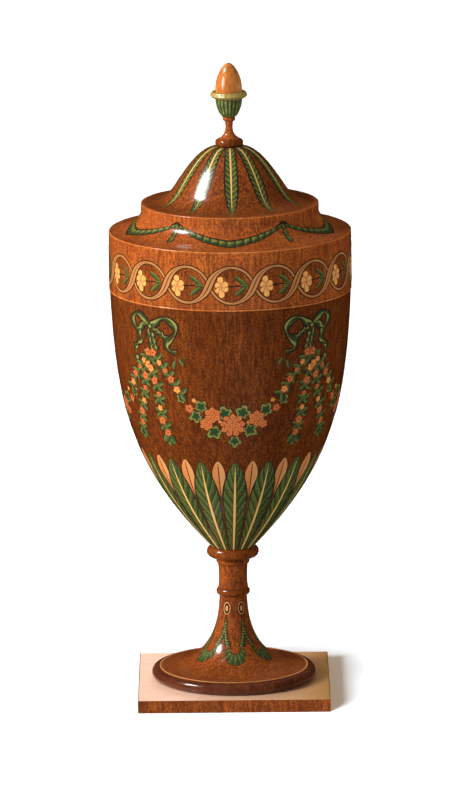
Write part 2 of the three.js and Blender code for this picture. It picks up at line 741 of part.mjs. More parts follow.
function finialCup() {
  const lipFoot = CUP_TOP - CUP_LIP_HEIGHT;
  const lipMiddle = CUP_TOP - CUP_LIP_HEIGHT / 2;
  const peg = FINIAL_PEG_RADIUS + TURNED_GAP;
  const pegTop = CUP_SEAT + FINIAL_PEG_LENGTH + TURNED_GAP;
  const recess = ACORN_RADIUS + TURNED_GAP;
  const body = sweep(
    [CUP_FOOT_RADIUS, CUP_SEAT],
    [CUP_BELLY_RADIUS, CUP_SEAT + CUP_BELLY_HEIGHT / 2],
    [CUP_NECK_RADIUS, CUP_SEAT + 2 * CUP_BELLY_HEIGHT],
    [CUP_NECK_RADIUS, lipFoot],
    4,
  );
  const outline = [
    [0, pegTop],
    [peg, pegTop],
    [peg, CUP_SEAT],
    ...body,
    [CUP_LIP_RADIUS - CUP_LIP_EDGE, lipMiddle - CUP_LIP_EDGE],
    [CUP_LIP_RADIUS, lipMiddle],
    [CUP_LIP_RADIUS - CUP_LIP_EDGE, CUP_TOP],
    [recess, CUP_TOP],
    [recess, CUP_TOP - ACORN_DEPTH],
    [0, CUP_TOP - ACORN_DEPTH],
  ];
  return pieceOf("finial_cup", turned(outline, SMALL_FACETS), GREEN_PAINT);
}

function finialAcorn() {
  const shoulder = CUP_TOP + ACORN_SHOULDER;
  const steps = 6;
  const point = Array.from({ length: steps + 1 }, (_, i) => {
    const turn = (Math.PI / 2) * (i / steps);
    const radius = i === steps ? 0 : ACORN_RADIUS * Math.cos(turn);
    return [radius, shoulder + ACORN_POINT * Math.sin(turn)];
  });
  const outline = [
    [0, CUP_TOP - ACORN_DEPTH],
    [ACORN_RADIUS, CUP_TOP - ACORN_DEPTH],
    ...point,
  ];
  return pieceOf("finial_acorn", turned(outline, SMALL_FACETS), SATINWOOD);
}

// Shaft, stop and catch

const catchTop = CATCH_FOOT + CATCH_BEND + CATCH_FLAT;
const recessFloor = SHAFT_SIDE / 2 - CATCH_RECESS_DEPTH;
const catchScrewHeights = [
  catchTop - CATCH_SCREW_INSET - CATCH_SCREW_SPACING,
  catchTop - CATCH_SCREW_INSET,
];
const pinHeight = SHAFT_FOOT + STOP_HEIGHT / 2;

// A round rod along X from one place to another
function crossRod(radius, from, to, height) {
  const rod = new THREE.CylinderGeometry(radius, radius, to - from, PIN_FACETS)
    .rotateZ(Math.PI / 2)
    .translate((from + to) / 2, 0, height);
  return solidOf(rod);
}

const pinHole = () =>
  crossRod(STOP_PIN_RADIUS + TURNED_GAP, -STOP_SIDE, STOP_SIDE, pinHeight);

function liftingShaft() {
  const tenon = turned(
    [
      [0, SHAFT_SHOULDER - 1],
      [SHAFT_TENON_RADIUS, SHAFT_SHOULDER - 1],
      [SHAFT_TENON_RADIUS, SHAFT_SHOULDER + SHAFT_TENON_LENGTH],
      [0, SHAFT_SHOULDER + SHAFT_TENON_LENGTH],
    ],
    SMALL_FACETS,
  );
  const recess = block(
    [recessFloor, -CATCH_WIDTH / 2 - CATCH_RECESS_GAP, CATCH_FOOT - CATCH_RECESS_GAP],
    [SHAFT_SIDE, CATCH_WIDTH / 2 + CATCH_RECESS_GAP, catchTop + CATCH_RECESS_GAP],
  );
  const screwHole = (height) =>
    crossRod(
      CATCH_SCREW_RADIUS + SCREW_GAP,
      recessFloor + CATCH_THICKNESS - CATCH_SCREW_LENGTH - SCREW_GAP,
      SHAFT_SIDE,
      height,
    );
  const shaft = squareBar(SHAFT_SIDE, SHAFT_FOOT, SHAFT_SHOULDER)
    .add(tenon)
    .subtract(recess)
    .subtract(pinHole())
    .subtract(screwHole(catchScrewHeights[0]))
    .subtract(screwHole(catchScrewHeights[1]));
  return pieceOf("lifting_shaft", shaft, SATINWOOD);
}

function shaftStop() {
  const outside = squareBar(STOP_SIDE, SHAFT_FOOT, STOP_TOP);
  const bore = squareBar(SHAFT_SIDE + 2 * TURNED_GAP, SHAFT_FOOT - 1, STOP_TOP + 1);
  return pieceOf("shaft_stop", outside.subtract(bore).subtract(pinHole()), INNER_WOOD);
}

const stopPin = () =>
  pieceOf(
    "stop_pin",
    crossRod(STOP_PIN_RADIUS, -STOP_SIDE / 2, STOP_SIDE / 2, pinHeight),
    STEEL,
  );

// The leaf lies flat under its screws, and its free lower end springs out
function catchSpring() {
  const bendTop = CATCH_FOOT + CATCH_BEND;
  const back = [
    [recessFloor, catchTop],
    [recessFloor, bendTop],
    [recessFloor + CATCH_SPREAD * 0.4, bendTop - CATCH_BEND * 0.6],
    [recessFloor + CATCH_SPREAD, CATCH_FOOT],
  ];
  const face = back.map(([x, z]) => [x + CATCH_THICKNESS, z]).reverse();
  const side = new THREE.Shape([...back, ...face].map(([x, z]) => new THREE.Vector2(x, z)));
  const leaf = new THREE.ExtrudeGeometry(side, { depth: CATCH_WIDTH, bevelEnabled: false })
    .rotateX(Math.PI / 2)
    .translate(0, CATCH_WIDTH / 2, 0);
  const hole = (height) =>
    crossRod(CATCH_SCREW_RADIUS + SCREW_GAP, recessFloor - 1, SHAFT_SIDE, height);
  const drilledLeaf = solidOf(leaf)
    .subtract(hole(catchScrewHeights[0]))
    .subtract(hole(catchScrewHeights[1]));
  return pieceOf("catch_spring", drilledLeaf, STEEL);
}

function catchScrews() {
  const seat = recessFloor + CATCH_THICKNESS;
  return catchScrewHeights.map((height, i) => {
    const head = crossRod(CATCH_SCREW_HEAD_RADIUS, seat, seat + CATCH_SCREW_HEAD_HEIGHT, height);
    const shank = crossRod(
      CATCH_SCREW_RADIUS,
      seat - CATCH_SCREW_LENGTH,
      seat + CATCH_SCREW_HEAD_HEIGHT / 2,
      height,
    );
    return pieceOf(`catch_screw_${i + 1}`, head.add(shank), STEEL);
  });
}

// Assembly

const stand = new THREE.Group();
stand.add(plinth(), ...plinthScrews(), footRing(), foot(), stemRing(), stem(), stemCollar());

const slottedStand = new THREE.Group();
slottedStand.add(tierLedge(), outerTier(), locatingLip(), outerRiser(), middleTier());
slottedStand.add(innerRiser(), innerTier(), guideBox(), guideCollar());

const finial = new THREE.Group();
finial.add(finialCollar(), finialBaluster(), finialCup(), finialAcorn());

const lid = new THREE.Group();
lid.add(lidFrieze(), lidCove(), lidDome(), finial, liftingShaft(), shaftStop(), stopPin());
lid.add(catchSpring(), ...catchScrews());

const knifeCase = new THREE.Group();
knifeCase.add(stand, bowl(), slottedStand, lid);

export default knifeCase;
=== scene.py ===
"""A standing knife case: a turned satinwood vase with painted ornament, on a square plinth."""

import bisect
import json
import math

import bmesh
import bpy
from mathutils import Matrix, Vector
from mathutils.geometry import interpolate_bezier

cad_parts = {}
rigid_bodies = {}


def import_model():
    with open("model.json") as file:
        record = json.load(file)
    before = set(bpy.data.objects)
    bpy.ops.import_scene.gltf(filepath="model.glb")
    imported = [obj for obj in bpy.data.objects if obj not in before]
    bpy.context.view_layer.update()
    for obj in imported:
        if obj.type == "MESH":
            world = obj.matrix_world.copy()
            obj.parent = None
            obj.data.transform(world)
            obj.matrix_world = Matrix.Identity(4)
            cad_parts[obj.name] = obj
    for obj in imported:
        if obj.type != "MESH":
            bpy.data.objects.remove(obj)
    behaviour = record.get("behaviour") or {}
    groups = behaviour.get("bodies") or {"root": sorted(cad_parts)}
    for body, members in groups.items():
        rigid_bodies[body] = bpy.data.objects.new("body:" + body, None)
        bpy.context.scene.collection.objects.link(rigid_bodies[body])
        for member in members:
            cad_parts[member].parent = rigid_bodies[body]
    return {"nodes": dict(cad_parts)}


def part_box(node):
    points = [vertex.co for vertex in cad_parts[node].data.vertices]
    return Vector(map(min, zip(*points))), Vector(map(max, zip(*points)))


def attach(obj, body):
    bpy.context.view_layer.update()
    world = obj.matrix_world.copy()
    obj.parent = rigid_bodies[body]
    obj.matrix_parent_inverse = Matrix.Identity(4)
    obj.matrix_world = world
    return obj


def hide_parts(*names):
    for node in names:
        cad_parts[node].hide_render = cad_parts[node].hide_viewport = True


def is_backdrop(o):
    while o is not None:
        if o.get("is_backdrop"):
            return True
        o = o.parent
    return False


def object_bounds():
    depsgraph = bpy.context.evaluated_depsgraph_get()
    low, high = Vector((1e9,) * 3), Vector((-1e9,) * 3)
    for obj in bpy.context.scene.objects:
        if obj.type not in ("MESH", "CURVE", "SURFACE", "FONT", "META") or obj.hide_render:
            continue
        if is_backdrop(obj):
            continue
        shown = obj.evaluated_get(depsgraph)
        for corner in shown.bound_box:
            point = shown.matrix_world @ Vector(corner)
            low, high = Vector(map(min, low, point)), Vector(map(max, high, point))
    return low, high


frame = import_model()
cad_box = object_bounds()

bl_info = {
    "name": "Knife Case",
    "version": (1, 0, 0),
    "blender": (4, 5, 0),
    "location": "View3D > Sidebar > Knife Case",
    "description": "Models a painted satinwood knife case round its frame",
    "category": "Add Mesh",
}

# Shapes are worked out in millimetres and made metres when a piece is finished
MM = 0.001
TURN = 2 * math.pi
# Edges that turn by more than this stay sharp
SHARP = math.radians(32)
# Steps of a full turn in large and in small pieces, and steps along a curve
TURNED_STEPS = 256
SMALL_STEPS = 128
CURVE_STEPS = 40
# Clearance between parts that are glued into each other
GAP = 0.3
# Radii of the round tenons
FOOT_TENON = 8
BOWL_TENON = 12
FINIAL_TENON = 4
# Heights of the layers of paint over the wood, and how deep each plate reaches under its top
GROUND = 0.08
BODY = 0.14
TOP = 0.2
FINE = 0.26
PAINT_DEPTH = 0.35
# How much one painted shape lies over the next of its kind
OVERLAP = 0.02
# A shape is never narrower than this, so that its two sides stay apart
HAIR = 0.06
# A rib that starts past the end of its leaf isn't drawn
NO_RIB = 2.0
DOME_LOBES = 15
CUP_FLUTES = 20
# The height of the ribbon bows, and for each one its handedness and its place in degrees
BOW_HEIGHT = 406
BOWS = ((1, -42), (-1, 42), (1, 138), (-1, -138))
# Camera: heights of picture and film, focal length in pixels, place, height of its aim and roll
PICTURE_HEIGHT = 800
FILM_HEIGHT = 36.0
FOCAL_LENGTH = 6946.01
CAMERA_PLACE = (0.0, -7.0, 1.85)
AIM_HEIGHT = 0.30722339
CAMERA_ROLL = -0.52
# Tones of the satinwood: the name of each and its depth. The bowl, the bell and the stem take darker copies
# as painted shade, the lid a lighter copy as painted light; the glazed tone is the ground of the frieze's
# rings
BOWL_SHADE_TONE = ("darkened_satinwood", 0.41)
BELL_SHADE_TONE = ("bell_satinwood", 0.68)
LID_LIGHT_TONE = ("light_satinwood", 1.1)
STEM_SHADE_TONE = ("turned_satinwood", 0.68)
GLAZED_TONE = ("glazed_satinwood", 0.62)


def low(node):
    """The lowest height of a node of the frame, in metres."""
    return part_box(node)[0].z


def high(node):
    """The highest height of a node of the frame, in metres."""
    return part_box(node)[1].z


def reach(node):
    """The radius of a turned node of the frame, in metres."""
    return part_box(node)[1].x


def length(name, description, default):
    """A length that a user can change."""
    return bpy.props.FloatProperty(
        name=name, description=description, default=default, min=0.0, unit="LENGTH", precision=4
    )


def count(name, description, default):
    """A number of like pieces that a user can change."""
    return bpy.props.IntProperty(name=name, description=description, default=default, min=1)


def colour(name, description, red, green, blue):
    """A colour that a user can change."""
    return bpy.props.FloatVectorProperty(
        name=name,
        description=description,
        default=(red, green, blue, 1.0),
        min=0.0,
        max=1.0,
        size=4,
        subtype="COLOR",
    )


class CaseSizes(bpy.types.PropertyGroup):
    """Sizes and counts of the knife case"""

    foot_ring: length("Foot ring", "Radius of the dark ring under the foot", reach("foot_ring"))
    foot: length("Foot", "Radius of the trumpet foot at its edge", reach("foot"))
    foot_neck: length("Foot neck", "Radius of the trumpet foot at its top", 0.0143)
    stem_ring: length("Stem ring", "Radius of the dark ring under the stem", reach("stem_ring"))
    stem_end: length("Stem end", "Radius of the stem at its ends", 0.0154)
    stem_waist: length("Stem waist", "Radius of the stem at its waist", 0.0144)
    stem_bead: length("Stem bead", "Radius of the bead at the top of the stem", reach("stem"))
    collar: length("Collar", "Radius of the dark ring under the bowl", reach("stem_collar"))
    bowl: length("Bowl", "Radius of the bowl at its rim", reach("bowl"))
    bowl_foot: length("Bowl foot", "Radius of the bowl where it stands on the collar", 0.0222)
    bowl_wall: length("Bowl wall", "Thickness of the bowl's wall", 0.009)
    frieze: length("Frieze", "Radius of the straight band of the lid", reach("lid_frieze"))
    cove_neck: length("Cove neck", "Radius of the cove at its top", 0.091)
    dome_step: length("Dome step", "Radius of the step at the foot of the dome", reach("lid_dome"))
    dome_turn: length("Dome turn", "Radius at which the dome turns from hollow to round", 0.0504)
    dome_top: length("Dome top", "Radius of the dome under the finial", 0.014)
    lid_wall: length("Lid wall", "Thickness of the dome's wall", 0.008)
    finial_collar: length("Finial collar", "Radius of the ring", reach("finial_collar"))
    cup_lip: length("Cup lip", "Radius of the lip of the acorn's cup", reach("finial_cup"))
    acorn: length("Acorn", "Radius of the acorn", reach("finial_acorn"))
    softness: length("Edge softness", "How far the turned edges are rounded", 0.0005)
    dome_leaves: count("Dome leaves", "Spear leaves round the dome", 11)
    cove_swags: count("Cove swags", "Husk swags round the cove", 5)
    frieze_rings: count("Frieze rings", "Rings of the chain round the frieze", 17)
    lotus_leaves: count("Lotus leaves", "Tall leaves round the foot of the bowl", 17)
    foot_loops: count("Foot loops", "Husk loops round the foot", 6)


class CaseColours(bpy.types.PropertyGroup):
    """Colours of the knife case"""

    wood_light: colour("Satinwood light", "Lighter figure of the satinwood", 0.42, 0.110, 0.018)
    wood_mid: colour("Satinwood", "Ground of the satinwood", 0.30, 0.070, 0.012)
    wood_dark: colour("Satinwood dark", "Darker figure of the satinwood", 0.10, 0.025, 0.009)
    dark_light: colour("Dark wood light", "Lighter figure of the dark rings", 0.13, 0.035, 0.014)
    dark_deep: colour("Dark wood", "Ground of the dark rings", 0.045, 0.012, 0.006)
    inner_wood: colour("Inner wood", "Wood of the hidden fittings", 0.22, 0.095, 0.035)
    green_light: colour("Leaf green light", "Lit side of a painted leaf", 0.100, 0.125, 0.030)
    leaf_light: colour("Lid leaf light", "Lit side of the leaves and swags on the lid", 0.155, 0.165, 0.040)
    green_dark: colour("Leaf green dark", "Shaded side of a painted leaf", 0.018, 0.040, 0.015)
    outline: colour("Outline", "Dark line round the painted shapes", 0.020, 0.012, 0.008)
    gold: colour("Gold", "Ribs and ribbons in gold", 0.62, 0.37, 0.11)
    tan: colour("Tan", "Leaf tips round the bowl", 0.46, 0.21, 0.075)
    chain_tan: colour("Chain tan", "Chain of rings round the frieze", 0.34, 0.145, 0.048)
    orange: colour("Orange", "Small orange flowers", 0.46, 0.14, 0.04)
    cream: colour("Cream", "Petals in the frieze", 0.62, 0.30, 0.080)
    olive: colour("Olive", "Ribbons and husks", 0.19, 0.19, 0.048)
    acorn_light: colour("Acorn light", "Lighter figure of the acorn", 0.80, 0.36, 0.09)
    rust: colour("Rust", "Lines between the petals", 0.20, 0.045, 0.015)
    yellow: colour("Yellow", "Small yellow flowers", 0.58, 0.27, 0.06)
    # The plinth's top: pale as a painted reflection on its left, tan as painted shade on its right
    pale_wood: colour("Pale wood", "Highlit top of the plinth", 0.88, 0.59, 0.46)
    tan_wood: colour("Tan wood", "More faded side of the plinth's top", 0.34, 0.17, 0.042)
    brass: colour("Brass", "Brass of the guide collar", 0.55, 0.36, 0.12)
    steel: colour("Steel", "Steel of the spring and the screws", 0.36, 0.37, 0.38)
    floor: colour("Floor", "Pale floor", 0.92, 0.92, 0.92)


def mm(name):
    """A length of the sizes, in millimetres."""
    return getattr(bpy.context.scene.case_sizes, name) / MM


def tint(name):
    """A colour of the colours group."""
    return tuple(getattr(bpy.context.scene.case_colours, name))


# Outlines


def cubic(start, near, far, end, steps=CURVE_STEPS):
    """Points of a curve from start to end that leaves and arrives towards near and far."""
    ends = [Vector((x, z, 0.0)) for x, z in (start, near, far, end)]
    return [(p.x, p.y) for p in interpolate_bezier(*ends, steps + 1)]


def half_round(radius, foot, top, steps=24):
    """A half-round edge that swells to a radius between two heights."""
    half = (top - foot) / 2
    turns = [math.pi * i / steps for i in range(steps + 1)]
    return [(radius - half + half * math.sin(t), foot + half - half * math.cos(t)) for t in turns]


def eased(before, corner, after, radius, steps=6):
    """A corner of an outline, rounded between the points on either side of it."""
    corner = Vector(corner)
    start = corner + (Vector(before) - corner).normalized() * radius
    end = corner + (Vector(after) - corner).normalized() * radius
    return cubic(start, start.lerp(corner, 0.6), end.lerp(corner, 0.6), end, steps)


def inner_line(outer, thickness):
    """Each point of a wall's outer line, moved square to it by the thickness."""
    moved = []
    for i, (radius, height) in enumerate(outer):
        before = outer[max(i - 1, 0)]
        after = outer[min(i + 1, len(outer) - 1)]
        run, rise = after[0] - before[0], after[1] - before[1]
        far = math.hypot(run, rise)
        moved.append((radius - thickness * rise / far, height + thickness * run / far))
    return moved


def foot_line():
    """The trumpet foot, from its edge up to its neck."""
    edge = low("foot") / MM + 1.0
    neck, top = mm("foot_neck"), low("stem_ring") / MM
    return cubic((mm("foot"), edge), (mm("foot") - 50, edge + 0.5), (neck, top - 34), (neck, top))


def bowl_line():
    """The bowl, from the collar up to the joint."""
    foot, joint = low("bowl") / MM, high("bowl") / MM
    start = (mm("bowl_foot"), foot)
    near = (mm("bowl_foot") + 79.6, foot + 84.8)
    far = (mm("bowl") - 4.8, joint - 125)
    return cubic(start, near, far, (mm("bowl"), joint), 72)


def frieze_line():
    """The straight band, from its lower edge up to the cove."""
    return [(mm("frieze"), high("bowl") / MM), (mm("frieze"), high("lid_frieze") / MM)]


def cove_line(steps=32):
    """The cove, from its edge in and up to the foot of the dome."""
    edge, top = high("lid_frieze") / MM + 1.6, high("lid_cove") / MM
    turns = [math.pi / 2 * (1 - i / steps) for i in range(steps + 1)]
    width, rise = mm("frieze") - mm("cove_neck"), top - edge
    return [(mm("frieze") - width * math.cos(t), top - rise * math.sin(t)) for t in turns]


def dome_line():
    """The bell of the dome, from its step up to the finial."""
    foot = high("lid_cove") / MM
    shelf = (mm("dome_step") - 0.3, foot + 6.8)
    turn = (mm("dome_turn"), foot + 32.9)
    side, drop = math.cos(0.96), math.sin(0.96)
    top = (mm("dome_top"), high("lid_dome") / MM)
    hollow = cubic(
        shelf, (shelf[0] - 27.6, shelf[1]), (turn[0] + 19.6 * side, turn[1] - 19.6 * drop), turn
    )
    crown = cubic(
        turn, (turn[0] - 10.9 * side, turn[1] + 10.9 * drop), (top[0] + 15.5, top[1]), top
    )
    return hollow + crown[1:]


class Surface:
    """A turned piece's outline as a place to paint on: an angle round it, a distance up it."""

    def __init__(self, line):
        self.line = line
        self.far = [0.0]
        for first, second in zip(line, line[1:]):
            self.far.append(self.far[-1] + math.dist(first, second))
        self.slopes = []
        for i in range(len(line)):
            first, second = line[max(i - 1, 0)], line[min(i + 1, len(line) - 1)]
            run = Vector((second[0] - first[0], second[1] - first[1])).normalized()
            self.slopes.append(Vector((run.y, -run.x)))

    def at(self, distance):
        """The radius, the height and the outward direction at a distance."""
        distance = min(max(distance, 0.0), self.far[-1] - 1e-6)
        i = bisect.bisect_right(self.far, distance) - 1
        part = (distance - self.far[i]) / (self.far[i + 1] - self.far[i])
        radius, height = Vector(self.line[i]).lerp(Vector(self.line[i + 1]), part)
        return radius, height, self.slopes[i].lerp(self.slopes[i + 1], part)

    def reaches(self, height):
        """The distance at which the outline has risen to a height."""
        for i in range(1, len(self.line)):
            z0, z1 = self.line[i - 1][1], self.line[i][1]
            if z1 >= height:
                part = (height - z0) / (z1 - z0) if z1 > z0 else 0.0
                return self.far[i - 1] + part * (self.far[i] - self.far[i - 1])
        return self.far[-1]

    def point(self, angle, distance, lift=0.0):
        """A point on the piece; angles are 0 at the front and grow to the right."""
        radius, height, out = self.at(distance)
        radius, height = radius + out.x * lift, height + out.y * lift
        return Vector((radius * math.sin(angle), -radius * math.cos(angle), height))

    def spot(self, angle, distance, turn=0.0):
        """Lays flat shapes round a point: x to the right and y up the piece, turned by an angle."""
        side, rise = math.cos(turn), math.sin(turn)

        def place(x, y, lift):
            right, up = x * side - y * rise, x * rise + y * side
            radius = self.at(distance + up)[0]
            return self.point(angle + right / radius, distance + up, lift)

        return place


def smooth_path(points):
    """A function from 0 to 1 that runs smoothly through points."""
    knots = [Vector(p) for p in points]
    ends = [2 * knots[0] - knots[1]] + knots + [2 * knots[-1] - knots[-2]]

    def at(u):
        where = min(max(u, 0.0), 1.0) * (len(knots) - 1)
        i = min(int(where), len(knots) - 2)
        t = where - i
        a, b, c, d = ends[i : i + 4]
        return 0.5 * (
            2 * b + (c - a) * t + (2 * a - 5 * b + 4 * c - d) * t * t
            + (3 * b - a - 3 * c + d) * t * t * t
        )

    return at


class Painting:
    """Painted shapes of one piece, each a thin plate that follows the surface under it."""

    def __init__(self):
        self.bm = bmesh.new()
        self.map = self.bm.loops.layers.uv.new("paint")
        self.out = self.bm.verts.layers.float_vector.new("out")

    def fit(self, verts, place, finish, lift, shape):
        """Gives new faces their finish and map, and lays their points in the wood's surface."""
        for face in {face for vert in verts for face in vert.link_faces}:
            face.material_index = finish
            for loop in face.loops:
                loop[self.map].uv = (loop.vert.co.x + 0.5, loop.vert.co.y + 0.5)
        for vert in verts:
            x, y = shape(vert.co.copy())
            vert.co = place(x, y, lift - PAINT_DEPTH)
            out = place(x, y, lift) - vert.co
            radial = vert.co.xy.normalized()
            vert[self.out] = (out.xy.dot(radial), 0.0, out.z)

    def strip(self, place, shape, finish, lift, along=8, across=2):
        """A strip whose shape gives a point for 0 to 1 along it and -1 to 1 across it."""
        made = bmesh.ops.create_grid(self.bm, x_segments=along, y_segments=across, size=0.5)
        self.fit(made["verts"], place, finish, lift, lambda co: shape(co.x + 0.5, 2 * co.y))

    def disc(self, place, reach_at, finish, lift, segments=12, centre=(0.0, 0.0)):
        """A disc round a centre, whose edge lies as far out as reach_at gives for each angle."""
        made = bmesh.ops.create_circle(
            self.bm, cap_ends=True, cap_tris=True, segments=segments, radius=0.5
        )

        def shape(co):
            if co.length < 0.1:
                return centre
            far = co.normalized() * reach_at(math.atan2(co.y, co.x))
            return centre[0] + far.x, centre[1] + far.y

        self.fit(made["verts"], place, finish, lift, shape)

    def ribbon(self, place, path, half_width, finish, lift, along=12, across=2):
        """A ribbon of changing width along a path in the plane of a spot."""

        def shape(u, v):
            run = (path(u + 0.004) - path(u - 0.004)).normalized()
            return path(u) + Vector((-run.y, run.x)) * v * half_width(u)

        self.strip(place, shape, finish, lift, along, across)

    def repeat(self, times):
        """Spreads what is painted so far evenly round the piece."""
        if times > 1:
            bmesh.ops.spin(
                self.bm,
                geom=self.bm.verts[:] + self.bm.edges[:] + self.bm.faces[:],
                cent=(0, 0, 0),
                axis=(0, 0, 1),
                dvec=(0, 0, 0),
                angle=TURN * (times - 1) / times,
                steps=times - 1,
                use_duplicate=True,
            )

    def finish(self, name, finishes, body, slot, turn=0.0):
        """Raises the plates out of the wood, turns them round it and makes them a piece."""
        made = bmesh.ops.extrude_face_region(self.bm, geom=self.bm.faces[:])
        for vert in made["geom"]:
            if isinstance(vert, bmesh.types.BMVert):
                out = vert[self.out]
                vert.co += Vector((*vert.co.xy.normalized() * out.x, out.z))
        bmesh.ops.recalc_face_normals(self.bm, faces=self.bm.faces[:])
        turning = Matrix.Rotation(math.radians(turn), 3, "Z")
        bmesh.ops.rotate(self.bm, cent=(0, 0, 0), matrix=turning, verts=self.bm.verts[:])
        return finish_piece(name, self.bm, finishes, body)


def leaf_shape(length, half_width, tip=0.5, foot=0.5):
    """A leaf along y from its foot at 0: its width swells and falls towards both ends."""
    least = 0.05
    peak = (foot / (foot + tip)) ** foot * (tip / (foot + tip)) ** tip

    def shape(u, v):
        swell = (1 - u) ** foot * u**tip if 0 < u < 1 else 0.0
        return v * max(half_width * swell / peak, least), length * (1 - u)

    return shape


def lobed(radius, lobes, depth, power=1.0, phase=0.0):
    """The edge of a disc with pointed or rounded lobes."""
    return lambda angle: radius * (1 - depth * abs(math.sin(lobes * (angle + phase) / 2)) ** power)


# Pieces


def finish_piece(name, bm, finishes, body, replaced=()):
    """Makes the shape in bm a piece with its finishes, on the body that it moves with."""
    bmesh.ops.scale(bm, vec=(MM, MM, MM), verts=bm.verts[:])
    for edge in bm.edges:
        edge.smooth = edge.calc_face_angle(0.0) < SHARP
    for face in bm.faces:
        face.smooth = True
    mesh = bpy.data.meshes.new(name)
    bm.to_mesh(mesh)
    bm.free()
    for finish in finishes:
        mesh.materials.append(finish)
    piece = bpy.data.objects.new(name, mesh)
    bpy.context.scene.collection.objects.link(piece)
    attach(piece, body)
    if replaced:
        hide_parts(*replaced)
    return piece


def turned(outline, steps=TURNED_STEPS, soften=None):
    """A solid with a closed outline of (radius, height), turned about the upright axis."""
    bm = bmesh.new()
    points = [bm.verts.new((radius, 0.0, height)) for radius, height in outline]
    pairs = list(zip(points, points[1:] + points[:1]))
    edges = [bm.edges.new(p) for p in pairs if p[0].co.x > 0 or p[1].co.x > 0]
    bmesh.ops.spin(
        bm,
        geom=points + edges,
        cent=(0, 0, 0),
        axis=(0, 0, 1),
        dvec=(0, 0, 0),
        angle=TURN,
        steps=steps,
        use_merge=True,
    )
    bmesh.ops.remove_doubles(bm, verts=bm.verts[:], dist=1e-4)
    bmesh.ops.recalc_face_normals(bm, faces=bm.faces[:])
    width = mm("softness") if soften is None else soften
    if width:
        corners = [e for e in bm.edges if e.calc_face_angle(0.0) > SHARP]
        bmesh.ops.bevel(
            bm,
            geom=corners,
            offset=width,
            offset_type="OFFSET",
            segments=2,
            profile=0.5,
            affect="EDGES",
            material=-1,
            clamp_overlap=True,
        )
    return bm


def round_ring(bore, radius, foot, top, steps=TURNED_STEPS):
    """A turned ring with a half-round edge."""
    outline = [(bore, foot)] + half_round(radius, foot, top) + [(bore, top)]
    return turned(outline, steps, soften=0)


def square_ring(radius, wall, foot, top, soften=0):
    """A turned ring with a straight wall."""
    inside = radius - wall
    outline = [(inside, foot), (radius, foot), (radius, top), (inside, top)]
    return turned(outline, soften=soften)


def mark(bm, index, chosen):
    """Gives another finish to the faces of a turned piece that a test chooses."""
    for face in bm.faces:
        middle = face.calc_center_median()
        if chosen((middle.xy.length, middle.z)):
            face.material_index = index


def mark_rubbed_highlight(bm, corner, reach_to):
    """Marks the faces near a corner of a turned outline, finished lighter there: a painted highlight line
    along the edge, partly rubbed polish.
    """
    mark(bm, 1, lambda here: math.dist(here, corner) < reach_to)


# Finishes


def add_node(tree, kind, settings=None, inputs=None):
    """A node with its settings, whose inputs are linked or given values."""
    node = tree.nodes.new("ShaderNode" + kind)
    for name, value in (settings or {}).items():
        setattr(node, name, value)
    for name, value in (inputs or {}).items():
        if isinstance(value, bpy.types.NodeSocket):
            tree.links.new(value, node.inputs[name])
        else:
            node.inputs[name].default_value = value
    return node


def calculate(tree, operation, first, second=0.0, clamp=False):
    """The result of a Math node."""
    settings = {"operation": operation, "use_clamp": clamp}
    return add_node(tree, "Math", settings, {0: first, 1: second}).outputs[0]


def times(tree, first, second, clamp=False):
    """The product of two values."""
    return calculate(tree, "MULTIPLY", first, second, clamp)


def blend_colours(tree, factor, first, second):
    """The result of mixing two colours."""
    node = add_node(tree, "Mix", {"data_type": "RGBA"}, {0: factor, 6: first, 7: second})
    return node.outputs[2]


def spread(tree, value, start, end, first=0.0, second=1.0):
    """A value that runs from first to second as another runs from start to end."""
    inputs = {"Value": value, "From Min": start, "From Max": end, "To Min": first, "To Max": second}
    return add_node(tree, "MapRange", {"clamp": True}, inputs).outputs["Result"]


def noise(tree, vector, scale, detail=2.0, roughness=0.5):
    """The strength of a noise pattern."""
    inputs = {"Vector": vector, "Scale": scale, "Detail": detail, "Roughness": roughness}
    return add_node(tree, "TexNoise", None, inputs).outputs["Fac"]


def object_place(tree):
    """The place on the object, in metres."""
    return add_node(tree, "TexCoord").outputs["Object"]


def stretched(tree, place, x, y, z):
    """A place scaled along its three axes."""
    return add_node(tree, "Mapping", None, {"Vector": place, "Scale": (x, y, z)}).outputs[0]


def axes(tree, vector):
    """The three parts of a vector."""
    return add_node(tree, "SeparateXYZ", None, {0: vector}).outputs


def new_group(name, inputs, outputs):
    """An empty group of nodes with its sockets, and what goes in and comes out."""
    group = bpy.data.node_groups.new(name, "ShaderNodeTree")
    for socket, value in inputs.items():
        kind = "NodeSocketColor" if isinstance(value, tuple) else "NodeSocketFloat"
        made = group.interface.new_socket(socket, in_out="INPUT", socket_type=kind)
        made.default_value = value
    for socket in outputs:
        kind = "NodeSocketColor" if socket == "Color" else "NodeSocketFloat"
        group.interface.new_socket(socket, in_out="OUTPUT", socket_type=kind)
    start = group.nodes.new("NodeGroupInput")
    end = group.nodes.new("NodeGroupOutput")
    return group, start.outputs, end.inputs


